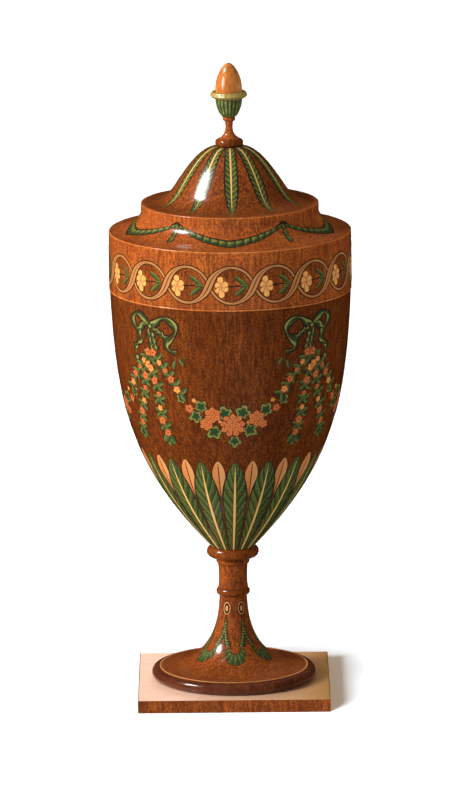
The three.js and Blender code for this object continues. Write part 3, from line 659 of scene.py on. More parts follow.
def figure_group():
    """Wood figure: clouded mottle, upright streaks and fine dark pores, as a colour."""
    name = "Wood figure"
    if name in bpy.data.node_groups:
        return bpy.data.node_groups[name]
    inputs = {
        "Light": (0.4, 0.1, 0.02, 1),
        "Middle": (0.3, 0.07, 0.016, 1),
        "Dark": (0.12, 0.03, 0.01, 1),
        "Mottle": 1.0,
        "Pores": 1.0,
    }
    group, given, result = new_group(name, inputs, ("Color", "Height"))
    place = object_place(group)
    cloud = noise(group, stretched(group, place, 1.0, 1.0, 0.4), 34.0, 4.0, 0.62)
    streak = noise(group, stretched(group, place, 1.0, 1.0, 0.13), 420.0, 3.0, 0.6)
    grain = noise(group, place, 520.0, 3.0, 0.7)
    mottle = times(group, spread(group, cloud, 0.36, 0.68), given["Mottle"])
    lit = blend_colours(group, mottle, given["Middle"], given["Light"])
    shade = times(group, spread(group, streak, 0.42, 0.64), given["Mottle"])
    shaded = blend_colours(group, times(group, shade, 0.8), lit, given["Dark"])
    pores = times(group, spread(group, grain, 0.44, 0.62), given["Pores"])
    pored = blend_colours(group, times(group, pores, 0.9), shaded, given["Dark"])
    group.links.new(pored, result["Color"])
    group.links.new(calculate(group, "SUBTRACT", cloud, pores), result["Height"])
    return group


def wear_group():
    """Handling: soft patches where the polish is duller."""
    name = "Handling"
    if name in bpy.data.node_groups:
        return bpy.data.node_groups[name]
    group, given, result = new_group(name, {"Smooth": 0.2, "Dull": 0.4}, ("Roughness",))
    patches = noise(group, object_place(group), 22.0, 5.0, 0.6)
    factor = spread(group, patches, 0.35, 0.7)
    mixed = add_node(group, "Mix", None, {0: factor, 2: given["Smooth"], 3: given["Dull"]})
    group.links.new(mixed.outputs[0], result["Roughness"])
    return group


def new_finish(name):
    """An empty material, its tree and its surface shader."""
    material = bpy.data.materials.new(name)
    material.use_nodes = True
    tree = material.node_tree
    tree.nodes.clear()
    output = tree.nodes.new("ShaderNodeOutputMaterial")
    surface = tree.nodes.new("ShaderNodeBsdfPrincipled")
    tree.links.new(surface.outputs[0], output.inputs["Surface"])
    return material, tree, surface


def use_group(tree, group, values=None):
    """A group placed in a material with its own values."""
    node = tree.nodes.new("ShaderNodeGroup")
    node.node_tree = group
    for name, value in (values or {}).items():
        node.inputs[name].default_value = value
    return node


def add_bump(tree, surface, height, depth, strength=1.0):
    """Fine relief on a surface."""
    values = {"Height": height, "Distance": depth, "Strength": strength}
    bump = add_node(tree, "Bump", None, values)
    tree.links.new(bump.outputs[0], surface.inputs["Normal"])


def deeper(name, depth):
    """A colour of the colours group, made darker or lighter."""
    return tuple(channel * depth for channel in tint(name)[:3]) + (1.0,)


def polish(surface, specular, coat, coat_roughness):
    """A clear coat over a surface that has little shine of its own."""
    surface.inputs["Specular IOR Level"].default_value = specular
    surface.inputs["Coat Weight"].default_value = coat
    surface.inputs["Coat Roughness"].default_value = coat_roughness


def wood_finish(
    name, light, middle, dark, depth=1.0, mottle=1.0, pores=1.0, smooth=0.26, dull=0.4, coat=0.6
):
    """Polished wood in three colours."""
    if name in bpy.data.materials:
        return bpy.data.materials[name]
    material, tree, surface = new_finish(name)
    values = {
        "Light": deeper(light, depth),
        "Middle": deeper(middle, depth),
        "Dark": deeper(dark, depth),
        "Mottle": mottle,
        "Pores": pores,
    }
    figure = use_group(tree, figure_group(), values)
    handling = use_group(tree, wear_group(), {"Smooth": smooth, "Dull": dull})
    tree.links.new(figure.outputs["Color"], surface.inputs["Base Color"])
    tree.links.new(handling.outputs["Roughness"], surface.inputs["Roughness"])
    polish(surface, 0.03, coat, 0.16)
    add_bump(tree, surface, figure.outputs["Height"], 0.00006, 0.3)
    return material


def satinwood(name="polished_satinwood", depth=1.0, **changes):
    """Golden red satinwood under polish, in one of its tones; the darker and lighter copies of it stand in
    for painted shade and painted light.
    """
    return wood_finish(name, "wood_light", "wood_mid", "wood_dark", depth, **changes)


def rubbed_highlit_wood():
    """Edges of the satinwood, lighter: a painted highlight along the edge, partly rubbed polish."""
    return wood_finish(
        "worn_satinwood", "tan", "wood_light", "wood_mid", pores=0.6, smooth=0.2, dull=0.3
    )


def red_wood():
    """Satinwood of the turned rings, darkened as painted shade."""
    return satinwood("red_wood", 0.5, mottle=0.8, pores=0.8, smooth=0.2, dull=0.3)


def pale_wood():
    """Lighter satinwood of the acorn and of the lines in the tiers."""
    return wood_finish(
        "acorn_wood", "acorn_light", "wood_light", "wood_mid",
        depth=0.72, mottle=0.8, pores=0.4, smooth=0.24, dull=0.36,
    )


def shaded_dark_wood():
    """Ring under the foot, the satinwood drawn dark as painted shade."""
    return wood_finish(
        "polished_dark_wood", "dark_light", "dark_deep", "dark_deep",
        pores=0.5, smooth=0.16, dull=0.28,
    )


def inner_wood():
    """Plain wood of the fittings inside."""
    return wood_finish(
        "plain_inner_wood", "inner_wood", "inner_wood", "wood_dark",
        mottle=0.6, pores=0.8, smooth=0.45, dull=0.6, coat=0.0,
    )


def plinth_wood():
    """Satinwood whose top is painted pale as a painted reflection, lit on its left and darker towards its
    right as painted shade.
    """
    name = "worn_plinth"
    if name in bpy.data.materials:
        return bpy.data.materials[name]
    material = satinwood(*STEM_SHADE_TONE).copy()
    material.name = name
    tree = material.node_tree
    surface = next(n for n in tree.nodes if n.bl_idname == "ShaderNodeBsdfPrincipled")
    wood = surface.inputs["Base Color"].links[0].from_socket
    facing = add_node(tree, "NewGeometry").outputs["Normal"]
    upward = calculate(tree, "GREATER_THAN", axes(tree, facing)[2], 0.9)
    place = object_place(tree)
    lines = noise(tree, stretched(tree, place, 0.3, 3.0, 1.0), 90.0, 4.0, 0.65)
    # Upward faces take the pale colour, broken by fine lines: a painted reflection on the top
    top_sheen = times(tree, upward, spread(tree, lines, 0.3, 0.75, 1.0, 0.8))
    # Pale on the left, tan towards the right: painted light and painted shade across the top
    shadowed = spread(tree, axes(tree, place)[0], -0.06, 0.1)
    pale = blend_colours(tree, shadowed, tint("pale_wood"), tint("tan_wood"))
    tree.links.new(blend_colours(tree, top_sheen, wood, pale), surface.inputs["Base Color"])
    return material


def green_paint():
    """Brushed green paint of the acorn's cup, with a lip in olive and gold."""
    name = "brushed_green"
    if name in bpy.data.materials:
        return bpy.data.materials[name]
    material, tree, surface = new_finish(name)
    place = object_place(tree)
    flutes = add_node(tree, "TexGradient", {"gradient_type": "RADIAL"}, {"Vector": place})
    wave = calculate(tree, "SINE", times(tree, flutes.outputs["Fac"], TURN * CUP_FLUTES))
    ribs = spread(tree, wave, -0.6, 0.9)
    brush = noise(tree, place, 300.0, 3.0, 0.6)
    strength = times(tree, ribs, spread(tree, brush, 0.3, 0.65), clamp=True)
    fluted = blend_colours(tree, strength, deeper("green_dark", 0.9), deeper("olive", 1.3))
    flecks = spread(tree, brush, 0.4, 0.6)
    flecked = blend_colours(tree, flecks, deeper("olive", 1.2), deeper("gold", 0.5))
    lip_foot = high("finial_cup") - 7.2 * MM
    lip = spread(tree, axes(tree, place)[2], lip_foot, lip_foot + MM)
    tree.links.new(blend_colours(tree, lip, fluted, flecked), surface.inputs["Base Color"])
    surface.inputs["Roughness"].default_value = 0.32
    surface.inputs["Coat Weight"].default_value = 0.4
    surface.inputs["Coat Roughness"].default_value = 0.15
    add_bump(tree, surface, ribs, 0.0004, 0.5)
    return material


def metal(name, shade, roughness):
    """Worked metal with fine scratches."""
    if name in bpy.data.materials:
        return bpy.data.materials[name]
    material, tree, surface = new_finish(name)
    place = object_place(tree)
    scratches = noise(tree, stretched(tree, place, 1.0, 1.0, 12.0), 180.0, 4.0, 0.7)
    tarnish = spread(tree, noise(tree, place, 40.0, 3.0, 0.6), 0.35, 0.75)
    mixed = blend_colours(tree, tarnish, tint(shade), deeper(shade, 0.55))
    tree.links.new(mixed, surface.inputs["Base Color"])
    rough = spread(tree, scratches, 0.3, 0.7, roughness - 0.08, roughness + 0.14)
    tree.links.new(rough, surface.inputs["Roughness"])
    surface.inputs["Metallic"].default_value = 1.0
    add_bump(tree, surface, scratches, 0.00004, 0.4)
    return material


def steel():
    """Steel of the screws, the pin and the spring."""
    return metal("worked_steel", "steel", 0.4)


def drawing_group():
    """Leaf drawing: side veins, a rib and a dark outline, from a map that runs along a leaf."""
    name = "Leaf drawing"
    if name in bpy.data.node_groups:
        return bpy.data.node_groups[name]
    inputs = {
        "Light": (0.15, 0.19, 0.045, 1),
        "Dark": (0.022, 0.055, 0.022, 1),
        "Rib": (0.68, 0.42, 0.12, 1),
        "Outline": (0.02, 0.012, 0.008, 1),
        "Veins": 8.0,
        "Slope": 2.0,
        "Vein Width": 0.2,
        "Rib Start": 0.08,
        "Rib Tip": 0.08,
        "Rib Foot": 0.3,
        "Edge": 0.14,
        "Halves": 0.3,
    }
    group, given, result = new_group(name, inputs, ("Color", "Height"))
    parts = axes(group, add_node(group, "UVMap").outputs[0])
    along = parts[0]
    across = spread(group, parts[1], 0.0, 1.0, -1.0, 1.0)
    out = calculate(group, "ABSOLUTE", across)

    # Side veins lean from the rib and leave a lighter and a darker side
    slant = times(group, out, given["Slope"])
    phase = calculate(group, "ADD", times(group, along, given["Veins"]), slant)
    wave = calculate(group, "FRACT", phase)
    brush = noise(group, object_place(group), 700.0, 3.0, 0.6)
    half = times(group, spread(group, across, -0.2, 0.2, 0.5, -0.5), given["Halves"])
    tone = calculate(group, "ADD", wave, half)
    tone = calculate(group, "ADD", tone, spread(group, brush, 0.3, 0.7, -0.45, 0.45))
    body = blend_colours(group, spread(group, tone, 0.1, 0.9), given["Light"], given["Dark"])
    vein = calculate(group, "LESS_THAN", wave, given["Vein Width"])
    body = blend_colours(group, times(group, vein, 0.85), body, given["Outline"])

    # The rib widens from the tip to the foot, between two dark lines
    width = spread(group, along, 0.0, 1.0, given["Rib Tip"], given["Rib Foot"])
    past = calculate(group, "GREATER_THAN", along, given["Rib Start"])
    near = calculate(group, "LESS_THAN", out, times(group, width, 1.45))
    rim = times(group, times(group, near, past), 0.8)
    body = blend_colours(group, rim, body, given["Outline"])
    rib = times(group, calculate(group, "LESS_THAN", out, width), past)
    ribbed = blend_colours(group, rib, body, given["Rib"])

    # The outline runs along both edges and round the tip
    inside = calculate(group, "SUBTRACT", 1.0, given["Edge"])
    edge = calculate(group, "GREATER_THAN", out, inside)
    end = calculate(group, "LESS_THAN", along, times(group, given["Edge"], 0.1))
    lines = calculate(group, "MAXIMUM", edge, end)
    group.links.new(blend_colours(group, lines, ribbed, given["Outline"]), result["Color"])
    group.links.new(calculate(group, "SUBTRACT", brush, vein), result["Height"])
    return group


def petal_group():
    """Petal drawing: a dark eye, a body with brush strokes and a darker rim."""
    name = "Petal drawing"
    if name in bpy.data.node_groups:
        return bpy.data.node_groups[name]
    inputs = {
        "Body": (0.6, 0.16, 0.04, 1),
        "Rim": (0.02, 0.012, 0.008, 1),
        "Eye": (0.1, 0.03, 0.01, 1),
        "Eye Size": 0.3,
        "Edge": 0.15,
    }
    group, given, result = new_group(name, inputs, ("Color", "Height"))
    place = add_node(group, "UVMap").outputs[0]
    middle = add_node(group, "VectorMath", {"operation": "DISTANCE"}, {0: place, 1: (0.5, 0.5, 0)})
    brush = noise(group, object_place(group), 800.0, 2.0, 0.6)
    out = times(group, middle.outputs["Value"], 2.0)
    out = calculate(group, "ADD", out, spread(group, brush, 0.3, 0.7, -0.16, 0.16))
    streaks = times(group, spread(group, brush, 0.42, 0.66), 0.55)
    body = blend_colours(group, streaks, given["Body"], given["Eye"])
    eye = calculate(group, "LESS_THAN", out, given["Eye Size"])
    body = blend_colours(group, eye, body, given["Eye"])
    inside = calculate(group, "SUBTRACT", 1.0, given["Edge"])
    edge = calculate(group, "GREATER_THAN", out, inside)
    group.links.new(blend_colours(group, edge, body, given["Rim"]), result["Color"])
    group.links.new(calculate(group, "SUBTRACT", brush, eye), result["Height"])
    return group


def painted(name, group, values):
    """Oil paint on the polished wood, drawn by a group."""
    if name in bpy.data.materials:
        return bpy.data.materials[name]
    material, tree, surface = new_finish(name)
    drawing = use_group(tree, group, values)
    handling = use_group(tree, wear_group(), {"Smooth": 0.34, "Dull": 0.5})
    tree.links.new(drawing.outputs["Color"], surface.inputs["Base Color"])
    tree.links.new(handling.outputs["Roughness"], surface.inputs["Roughness"])
    polish(surface, 0.05, 0.55, 0.17)
    add_bump(tree, surface, drawing.outputs["Height"], 0.00005, 0.4)
    return material


def leaf_paint(name, light, dark, rib="gold", **values):
    """Paint for a leaf that is drawn with veins and a rib."""
    inputs = {"Light": tint(light), "Dark": tint(dark)}
    inputs.update({"Rib": tint(rib), "Outline": tint("outline")})
    inputs.update({key.replace("_", " "): value for key, value in values.items()})
    return painted(name, drawing_group(), inputs)


def plain_paint(name, light, dark, edge, halves, **values):
    """Paint for a leaf or a line that has no veins."""
    inputs = {"Veins": 1.0, "Vein_Width": 0.0, "Rib_Start": NO_RIB, "Edge": edge, "Halves": halves}
    inputs.update(values)
    return leaf_paint(name, light, dark, **inputs)


def small_leaf():
    """Paint of the small green leaves."""
    return plain_paint("paint_small_leaf", "green_light", "green_dark", 0.2, 0.9)


def petal_paint(name, body, rim="outline", eye="outline", eye_size=0.3, edge=0.15):
    """Paint for a flower or a petal."""
    values = {"Body": tint(body), "Rim": tint(rim), "Eye": tint(eye)}
    values.update({"Eye Size": eye_size, "Edge": edge})
    return painted(name, petal_group(), values)


def dark_line():
    """Paint of the dark outlines."""
    return petal_paint("paint_line", "outline", eye_size=0.0, edge=0.0)


def repaint(finish, *nodes):
    """Gives nodes of the frame that stay in view a finish."""
    for name in nodes:
        mesh = frame["nodes"][name].data
        if not mesh.materials:
            mesh.materials.append(None)
        for i in range(len(mesh.materials)):
            mesh.materials[i] = finish


class MakeStand(bpy.types.Operator):
    """Makes the plinth, the foot and the stem"""

    bl_idname = "knife_case.make_stand"
    bl_label = "Plinth, foot and stem"

    def execute(self, context):
        plinth_top, foot_seat = low("foot_ring") / MM, low("foot") / MM
        ring_seat, stem_seat = low("stem_ring") / MM, high("stem_ring") / MM
        collar_seat, bowl_seat = low("stem_collar") / MM, low("bowl") / MM

        ring = round_ring(0, mm("foot_ring"), plinth_top, foot_seat)
        # The ring under the foot is given wood drawn dark as painted shade
        finish_piece("foot_ring_turned", ring, [shaded_dark_wood()], "case", ["foot_ring"])

        bore, socket_top = FOOT_TENON + GAP, 84.7
        foot = turned(
            [(0, foot_seat), (mm("foot"), foot_seat)]
            + foot_line()
            + [(bore, ring_seat), (bore, socket_top), (0, socket_top)],
            soften=0.3,
        )
        # The foot takes a darker copy of the satinwood as painted shade
        finish_piece("foot_trumpet", foot, [satinwood(*STEM_SHADE_TONE)], "case", ["foot"])

        ring = round_ring(bore, mm("stem_ring"), ring_seat, stem_seat)
        # The stem ring takes the satinwood darkened as painted shade
        finish_piece("stem_ring_turned", ring, [red_wood()], "case", ["stem_ring"])

        tenon_foot, tenon_top = stem_seat - 24, collar_seat + 21.2
        bead_top = collar_seat - 0.8
        bead_foot = bead_top - 7
        middle, run = (stem_seat + bead_foot) / 2, (bead_foot - stem_seat) / 4
        end, waist = mm("stem_end"), mm("stem_waist")
        shaft = cubic(
            (end, stem_seat + 0.8), (waist, middle - run), (waist, middle + run), (end, bead_foot)
        )
        stem = turned(
            [(0, tenon_foot), (FOOT_TENON, tenon_foot), (FOOT_TENON, stem_seat), (end, stem_seat)]
            + shaft
            + half_round(mm("stem_bead"), bead_foot, bead_top)[2:-2]
            + [(end, bead_top), (end, collar_seat), (BOWL_TENON, collar_seat)]
            + [(BOWL_TENON, tenon_top), (0, tenon_top)],
            soften=0,
        )
        # The stem takes the darker copy of the satinwood as painted shade
        finish_piece("stem_turned", stem, [satinwood(*STEM_SHADE_TONE)], "case", ["stem"])

        collar = round_ring(BOWL_TENON + GAP, mm("collar"), collar_seat, bowl_seat)
        # The collar takes the satinwood darkened as painted shade
        finish_piece("stem_collar_turned", collar, [red_wood()], "case", ["stem_collar"])
        # The plinth takes the darker satinwood copy as painted shade, with a painted reflection and painted
        # shade on its top
        repaint(plinth_wood(), "plinth")
        repaint(steel(), *[f"plinth_screw_{i}" for i in range(1, 5)])
        return {"FINISHED"}


class MakeBowl(bpy.types.Operator):
    """Makes the bowl and the ledge in it"""

    bl_idname = "knife_case.make_bowl"
    bl_label = "Bowl"

    def execute(self, context):
        joint, ledge = high("bowl") / MM, low("tier_ledge") / MM
        socket_top, floor_top = 163.3, 167.8
        rebate, socket = reach("tier_ledge") / MM + GAP, BOWL_TENON + GAP
        outer = bowl_line()
        inner = [p for p in inner_line(outer, mm("bowl_wall")) if floor_top < p[1] < ledge]
        bowl = turned(
            [(0, socket_top), (socket, socket_top), (socket, low("bowl") / MM)]
            + outer
            + [(rebate, joint), (rebate, ledge), (inner[-1][0], ledge)]
            + inner[::-1]
            + [(inner[0][0], floor_top), (0, floor_top)],
            soften=0.4,
        )
        # The bowl takes a much darker copy of the satinwood as painted shade
        finish_piece("bowl_shell", bowl, [satinwood(*BOWL_SHADE_TONE)], "case", ["bowl"])
        return {"FINISHED"}


class MakeLid(bpy.types.Operator):
    """Makes the frieze, the cove and the dome of the lid"""

    bl_idname = "knife_case.make_lid"
    bl_label = "Lid"

    def execute(self, context):
        joint, cove_seat = high("bowl") / MM, high("lid_frieze") / MM
        dome_seat, top = high("lid_cove") / MM, high("lid_dome") / MM
        bore = reach("tier_ledge") / MM + 1.3
        outer = mm("frieze")
        band = turned(
            [(bore, joint)]
            + half_round(outer, joint + 0.1, joint + 2.1, 10)
            + [(outer - 0.3, joint + 2.4), (outer, joint + 3.0), (outer, cove_seat), (bore, cove_seat)],
            soften=0,
        )
        # The bead over the joint is finished lighter: a painted highlight line, partly rubbed polish
        mark_rubbed_highlight(band, (outer, joint + 1.4), 0.7)
        finish_piece("frieze_band", band, [satinwood(), rubbed_highlit_wood()], "lid", ["lid_frieze"])

        spigot, mouth, wall = bore - GAP, mm("cove_neck") - 9, mm("lid_wall")
        hollow = cove_line()
        cove = turned(
            [(spigot - wall, cove_seat - 6), (spigot, cove_seat - 6), (spigot, cove_seat)]
            + [(outer, cove_seat)]
            + eased((outer, cove_seat), hollow[0], hollow[2], 1.3)
            + [p for p in hollow if p[0] < outer - 1.4]
            + [(mouth, dome_seat), (mouth, dome_seat - 10), (mouth + wall, cove_seat)],
            soften=0,
        )
        # The cove's outer edge is finished lighter: a painted highlight line, partly rubbed polish
        mark_rubbed_highlight(cove, hollow[0], 0.8)
        # The cove and the dome's step take a lighter copy of the satinwood as painted light
        finishes = [satinwood(*LID_LIGHT_TONE), rubbed_highlit_wood()]
        finish_piece("cove_moulding", cove, finishes, "lid", ["lid_cove"])

        spigot = mouth - GAP
        shoulder, crown = top - 17.5, 18
        peg_hole, peg_foot, shaft_hole = FINIAL_TENON + GAP, top - 7.5, 5.3
        step_top = dome_seat + 6.5
        bell = dome_line()
        step = mm("dome_step")
        inside = [
            p
            for p in inner_line(bell, wall)
            if p[1] > step_top - 3 and p[1] < shoulder - 1 and p[0] > crown
        ]
        dome = turned(
            [(spigot - wall, dome_seat - 6), (spigot, dome_seat - 6), (spigot, dome_seat)]
            + [(step, dome_seat)]
            + eased((step, dome_seat), (step, bell[0][1]), (step - 9, bell[0][1]), 1.4)
            + [p for p in bell if p[0] < step - 1.5]
            + [(peg_hole, top), (peg_hole, peg_foot), (shaft_hole, peg_foot)]
            + [(shaft_hole, shoulder), (crown, shoulder)]
            + inside[::-1],
            soften=0,
        )
        # Faces above the step take the bell's darker copy of the satinwood as painted shade
        mark(dome, 2, lambda here: here[1] > bell[0][1] + 0.1)
        # The step's edge is finished lighter: a painted highlight line, partly rubbed polish
        mark_rubbed_highlight(dome, (step, bell[0][1]), 0.8)
        finishes.append(satinwood(*BELL_SHADE_TONE))
        finish_piece("dome_bell", dome, finishes, "lid", ["lid_dome"])
        return {"FINISHED"}


class MakeFinial(bpy.types.Operator):
    """Makes the acorn finial with its collar, baluster and cup"""

    bl_idname = "knife_case.make_finial"
    bl_label = "Finial"

    def execute(self, context):
        seat, baluster_seat = high("lid_dome") / MM, high("finial_collar") / MM
        cup_seat, cup_top = low("finial_cup") / MM, high("finial_cup") / MM
        bore = FINIAL_TENON + GAP
        collar = round_ring(bore, mm("finial_collar"), seat, baluster_seat, SMALL_STEPS)
        # The finial collar takes the satinwood darkened as painted shade
        finish_piece("finial_collar_turned", collar, [red_wood()], "lid", ["finial_collar"])

        neck, bead = baluster_seat + 13.2, cup_seat - 4.6
        flare = cubic(
            (11, baluster_seat), (5.5, baluster_seat + 3.3), (3.7, neck - 6.6), (3.7, neck)
        )
        baluster = turned(
            [(0, seat - 4.5), (FINIAL_TENON, seat - 4.5), (FINIAL_TENON, baluster_seat)]
            + flare
            + half_round(6.7, bead, cup_seat)
            + [(3.2, cup_seat), (3.2, cup_seat + 7.7), (0, cup_seat + 7.7)],
            SMALL_STEPS,
            0,
        )
        finish_piece(
            "finial_baluster_turned", baluster, [satinwood()], "lid", ["finial_baluster"]
        )

        lip_foot, lip_middle = cup_top - 7.4, cup_top - 3.7
        lip, recess, peg_top = mm("cup_lip"), mm("acorn") + 0.3, cup_seat + 8
        body = cubic((7, cup_seat), (11.2, cup_seat + 3.35), (13.8, cup_seat + 13.4), (13.8, lip_foot))
        cup = turned(
            [(0, peg_top), (3.5, peg_top), (3.5, cup_seat)]
            + body
            + [(lip - 1.7, lip_middle - 1.7), (lip, lip_middle), (lip - 1.7, cup_top)]
            + [(recess, cup_top), (recess, cup_top - 4), (0, cup_top - 4)],
            SMALL_STEPS,
            0.6,
        )
        finish_piece("finial_cup_turned", cup, [green_paint()], "lid", ["finial_cup"])

        shoulder, point = cup_top + 1.8, 28
        rises = [math.sin(math.pi / 2 * i / 40) for i in range(40)]
        acorn = turned(
            [(0, cup_top - 4), (mm("acorn"), cup_top - 4)]
            + [(mm("acorn") * (1 - h**1.9) ** 0.6, shoulder + point * h) for h in rises]
            + [(0, shoulder + point)],
            SMALL_STEPS,
            0,
        )
        finish_piece("finial_acorn_turned", acorn, [pale_wood()], "lid", ["finial_acorn"])
        return {"FINISHED"}


class MakeFittings(bpy.types.Operator):
    """Finishes the slotted stand, the shaft and the catch"""

    bl_idname = "knife_case.make_fittings"
    bl_label = "Fittings"

    def execute(self, context):
        repaint(satinwood(), "outer_tier", "middle_tier", "inner_tier", "lifting_shaft")
        for node, wall in (("locating_lip", 6.7), ("outer_riser", 4.0), ("inner_riser", 4.0)):
            outer, foot, top = reach(node) / MM, low(node) / MM, high(node) / MM
            ring = square_ring(outer, wall, foot, top, 0.3)
            finish_piece(f"{node}_turned", ring, [satinwood()], "case", [node])
        inlay = bmesh.new()
        for node, inset in (("middle_tier", 3.0), ("inner_tier", 2.6)):
            outer, top = reach(node) / MM - inset, high(node) / MM
            line = square_ring(outer, 1.4, top - 0.3, top + 0.06)
            mesh = bpy.data.meshes.new("inlay_line")
            line.to_mesh(mesh)
            line.free()
            inlay.from_mesh(mesh)
            bpy.data.meshes.remove(mesh)
        finish_piece("tier_inlay", inlay, [pale_wood()], "case")
        repaint(inner_wood(), "tier_ledge", "guide_box", "shaft_stop")
        repaint(metal("worked_brass", "brass", 0.35), "guide_collar")
        repaint(steel(), "stop_pin", "catch_spring", "catch_screw_1", "catch_screw_2")
        return {"FINISHED"}


class PaintDome(bpy.types.Operator):
    """Paints the spear leaves on the dome"""

    bl_idname = "knife_case.paint_dome"
    bl_label = "Dome leaves"

    def execute(self, context):
        sizes = context.scene.case_sizes
        dome = Surface(dome_line())
        tip, foot = 11.0, dome.far[-1] - 0.3
        widest, widest_at = 8.3, 0.48
        painting = Painting()

        def shape(u, v):
            notch = 1.0 - 0.16 * ((u * DOME_LOBES) % 1.0)
            if u < widest_at:
                half = widest * math.sin(math.pi / 2 * u / widest_at) ** 0.8
            else:
                half = widest - 3.1 * ((u - widest_at) / (1 - widest_at)) ** 1.4
            return v * max(half * notch, HAIR), u * (foot - tip)

        place = dome.spot(0.0, tip)
        painting.strip(place, shape, 0, BODY, 84, 4)
        painting.repeat(sizes.dome_leaves)
        paint = leaf_paint(
            "paint_spear_leaf", "leaf_light", "green_dark",
            Veins=float(DOME_LOBES), Slope=-1.0, Vein_Width=0.16,
            Rib_Start=0.12, Rib_Tip=0.03, Rib_Foot=0.17, Edge=0.24, Halves=0.3,
        )
        painting.finish("dome_leaves", [paint], "lid", "green_paint", 1.9)
        return {"FINISHED"}


class PaintCove(bpy.types.Operator):
    """Paints the husk swags in the cove"""

    bl_idname = "knife_case.paint_cove"
    bl_label = "Cove swags"

    def execute(self, context):
        swags = context.scene.case_sizes.cove_swags
        cove = Surface(cove_line(48))
        half_span = math.pi / swags
        painting = Painting()

        def shape(u, v):
            part = 2 * u - 1
            hang = abs(part) ** 1.17
            rise = 19.8 + 21.2 * hang
            half = 2.2 + 4.5 * (1 - abs(part)) ** 0.7
            return half_span * part, rise + v * half * (1 - 0.45 * hang)

        painting.strip(cove.point, shape, 0, BODY, 80, 4)

        place = cove.spot(half_span, 0.0)
        for i, (foot, top) in enumerate(((33.0, 41.5), (25.5, 35.0), (17.0, 27.5))):
            husk = leaf_shape(top - foot, 2.6 + 0.5 * i, 0.35, 0.6)
            drop = lambda u, v: (husk(u, v)[0], foot + husk(u, v)[1])
            painting.strip(place, drop, 1, TOP + OVERLAP * i, 8, 4)
        for side in (-1, 1):
            wing = smooth_path([(0, 44.2), (side * 3.5, 41.6), (side * 7.5, 40.0)])
            painting.ribbon(place, wing, lambda u: 1.3 - 0.7 * u, 2, TOP, 6)
        painting.repeat(swags)
        husks = leaf_paint(
            "paint_husk_swag", "leaf_light", "green_dark",
            Veins=15.0, Slope=0.06, Vein_Width=0.24, Rib_Start=NO_RIB, Edge=0.3, Halves=0.7,
        )
        drops = plain_paint("paint_husk_drop", "green_light", "green_dark", 0.34, 0.6, Slope=0.0)
        painting.finish("cove_swags", [husks, drops, dark_line()], "lid", "green_paint")
        return {"FINISHED"}


class PaintFrieze(bpy.types.Operator):
    """Paints the chain of rings and the flowers in them on the frieze"""

    bl_idname = "knife_case.paint_frieze"
    bl_label = "Frieze chain"

    def execute(self, context):
        rings = context.scene.case_sizes.frieze_rings
        frieze = Surface(frieze_line())
        middle = frieze.far[-1] * 0.457
        step = TURN / rings
        spacing = step * mm("frieze")
        painting = Painting()
        crossing = frieze.spot(step / 2, middle)

        def strand(rise):
            def path(u):
                phase = math.pi * (u - 0.5)
                across = spacing / math.pi * phase - 4.3 * math.sin(2 * phase)
                up = 17.5 * (math.sin(phase) - 0.055 * math.sin(3 * phase))
                return Vector((across, rise * up))

            return path

        def swell(u):
            return 1.0 + 2.6 * math.sin(math.pi * u) ** 1.8

        def aimed(x, y, run):
            """A place on the band, turned so that its up lies along a run."""
            turn = math.atan2(run.y, run.x) - math.pi / 2
            return frieze.spot(x / mm("frieze"), middle + y, turn)

        painting.ribbon(crossing, strand(-1), lambda u: 2.1, 5, BODY, 26, 2)
        painting.ribbon(crossing, strand(-1), lambda u: 1.05, 1, BODY + 0.03, 26, 2)
        painting.ribbon(crossing, strand(1), lambda u: swell(u) + 1.1, 5, TOP, 30, 2)
        painting.ribbon(crossing, strand(1), swell, 0, TOP + 0.03, 30, 4)

        place = frieze.spot(0.0, middle)
        painting.disc(place, lambda turn: 15.9, 6, GROUND, 40)
        petals = ((-11.8, 9.2), (-16.4, 1.6), (-15.2, -7.4), (-9.7, -12.6), (-3.4, -4.4), (-4.2, 3.0))
        heart = (-10.6, -1.6)
        for i, (x, y) in enumerate(petals):
            run = Vector((x - heart[0], y - heart[1]))
            shape = leaf_shape(run.length, 3.5, 0.3, 0.6)
            painting.strip(aimed(*heart, run), shape, 2, TOP + OVERLAP * i, 10, 4)
        painting.disc(place, lobed(1.3, 5, 0.2), 3, FINE + 0.06, 10, heart)
        stem = smooth_path([(16.4, -0.3), (7.0, -0.4), (-3.2, -1.2)])
        painting.ribbon(place, stem, lambda u: 0.7, 5, BODY, 6)
        for x, y in ((3.0, 9.7), (3.6, -10.9)):
            run = Vector((x - 16.4, y + 0.3))
            shape = leaf_shape(run.length, 2.5, 0.7, 0.8)
            painting.strip(aimed(16.0, -0.3, run), shape, 4, BODY, 10, 4)
        leaf = frieze.spot(17.2 / mm("frieze"), middle - 0.3, math.pi / 2)
        painting.strip(leaf, leaf_shape(8.5, 1.5, 0.7, 0.8), 4, TOP, 8, 2)
        painting.repeat(rings)
        finishes = [
            leaf_paint(
                "paint_strand_top", "chain_tan", "chain_tan", "outline",
                Veins=1.0, Vein_Width=0.0, Rib_Start=0.0, Rib_Tip=0.1, Rib_Foot=0.1,
                Edge=0.0, Halves=0.0,
            ),
            plain_paint("paint_strand_under", "chain_tan", "chain_tan", 0.0, 0.0),
            plain_paint("paint_petal", "cream", "tan", 0.16, 0.2, Slope=0.0),
            petal_paint("paint_calyx", "orange", "outline", "orange", 0.0, 0.2),
            small_leaf(),
            dark_line(),
            satinwood(*GLAZED_TONE),
        ]
        painting.finish("frieze_chain", finishes, "lid", "satinwood", 0.5)
        return {"FINISHED"}


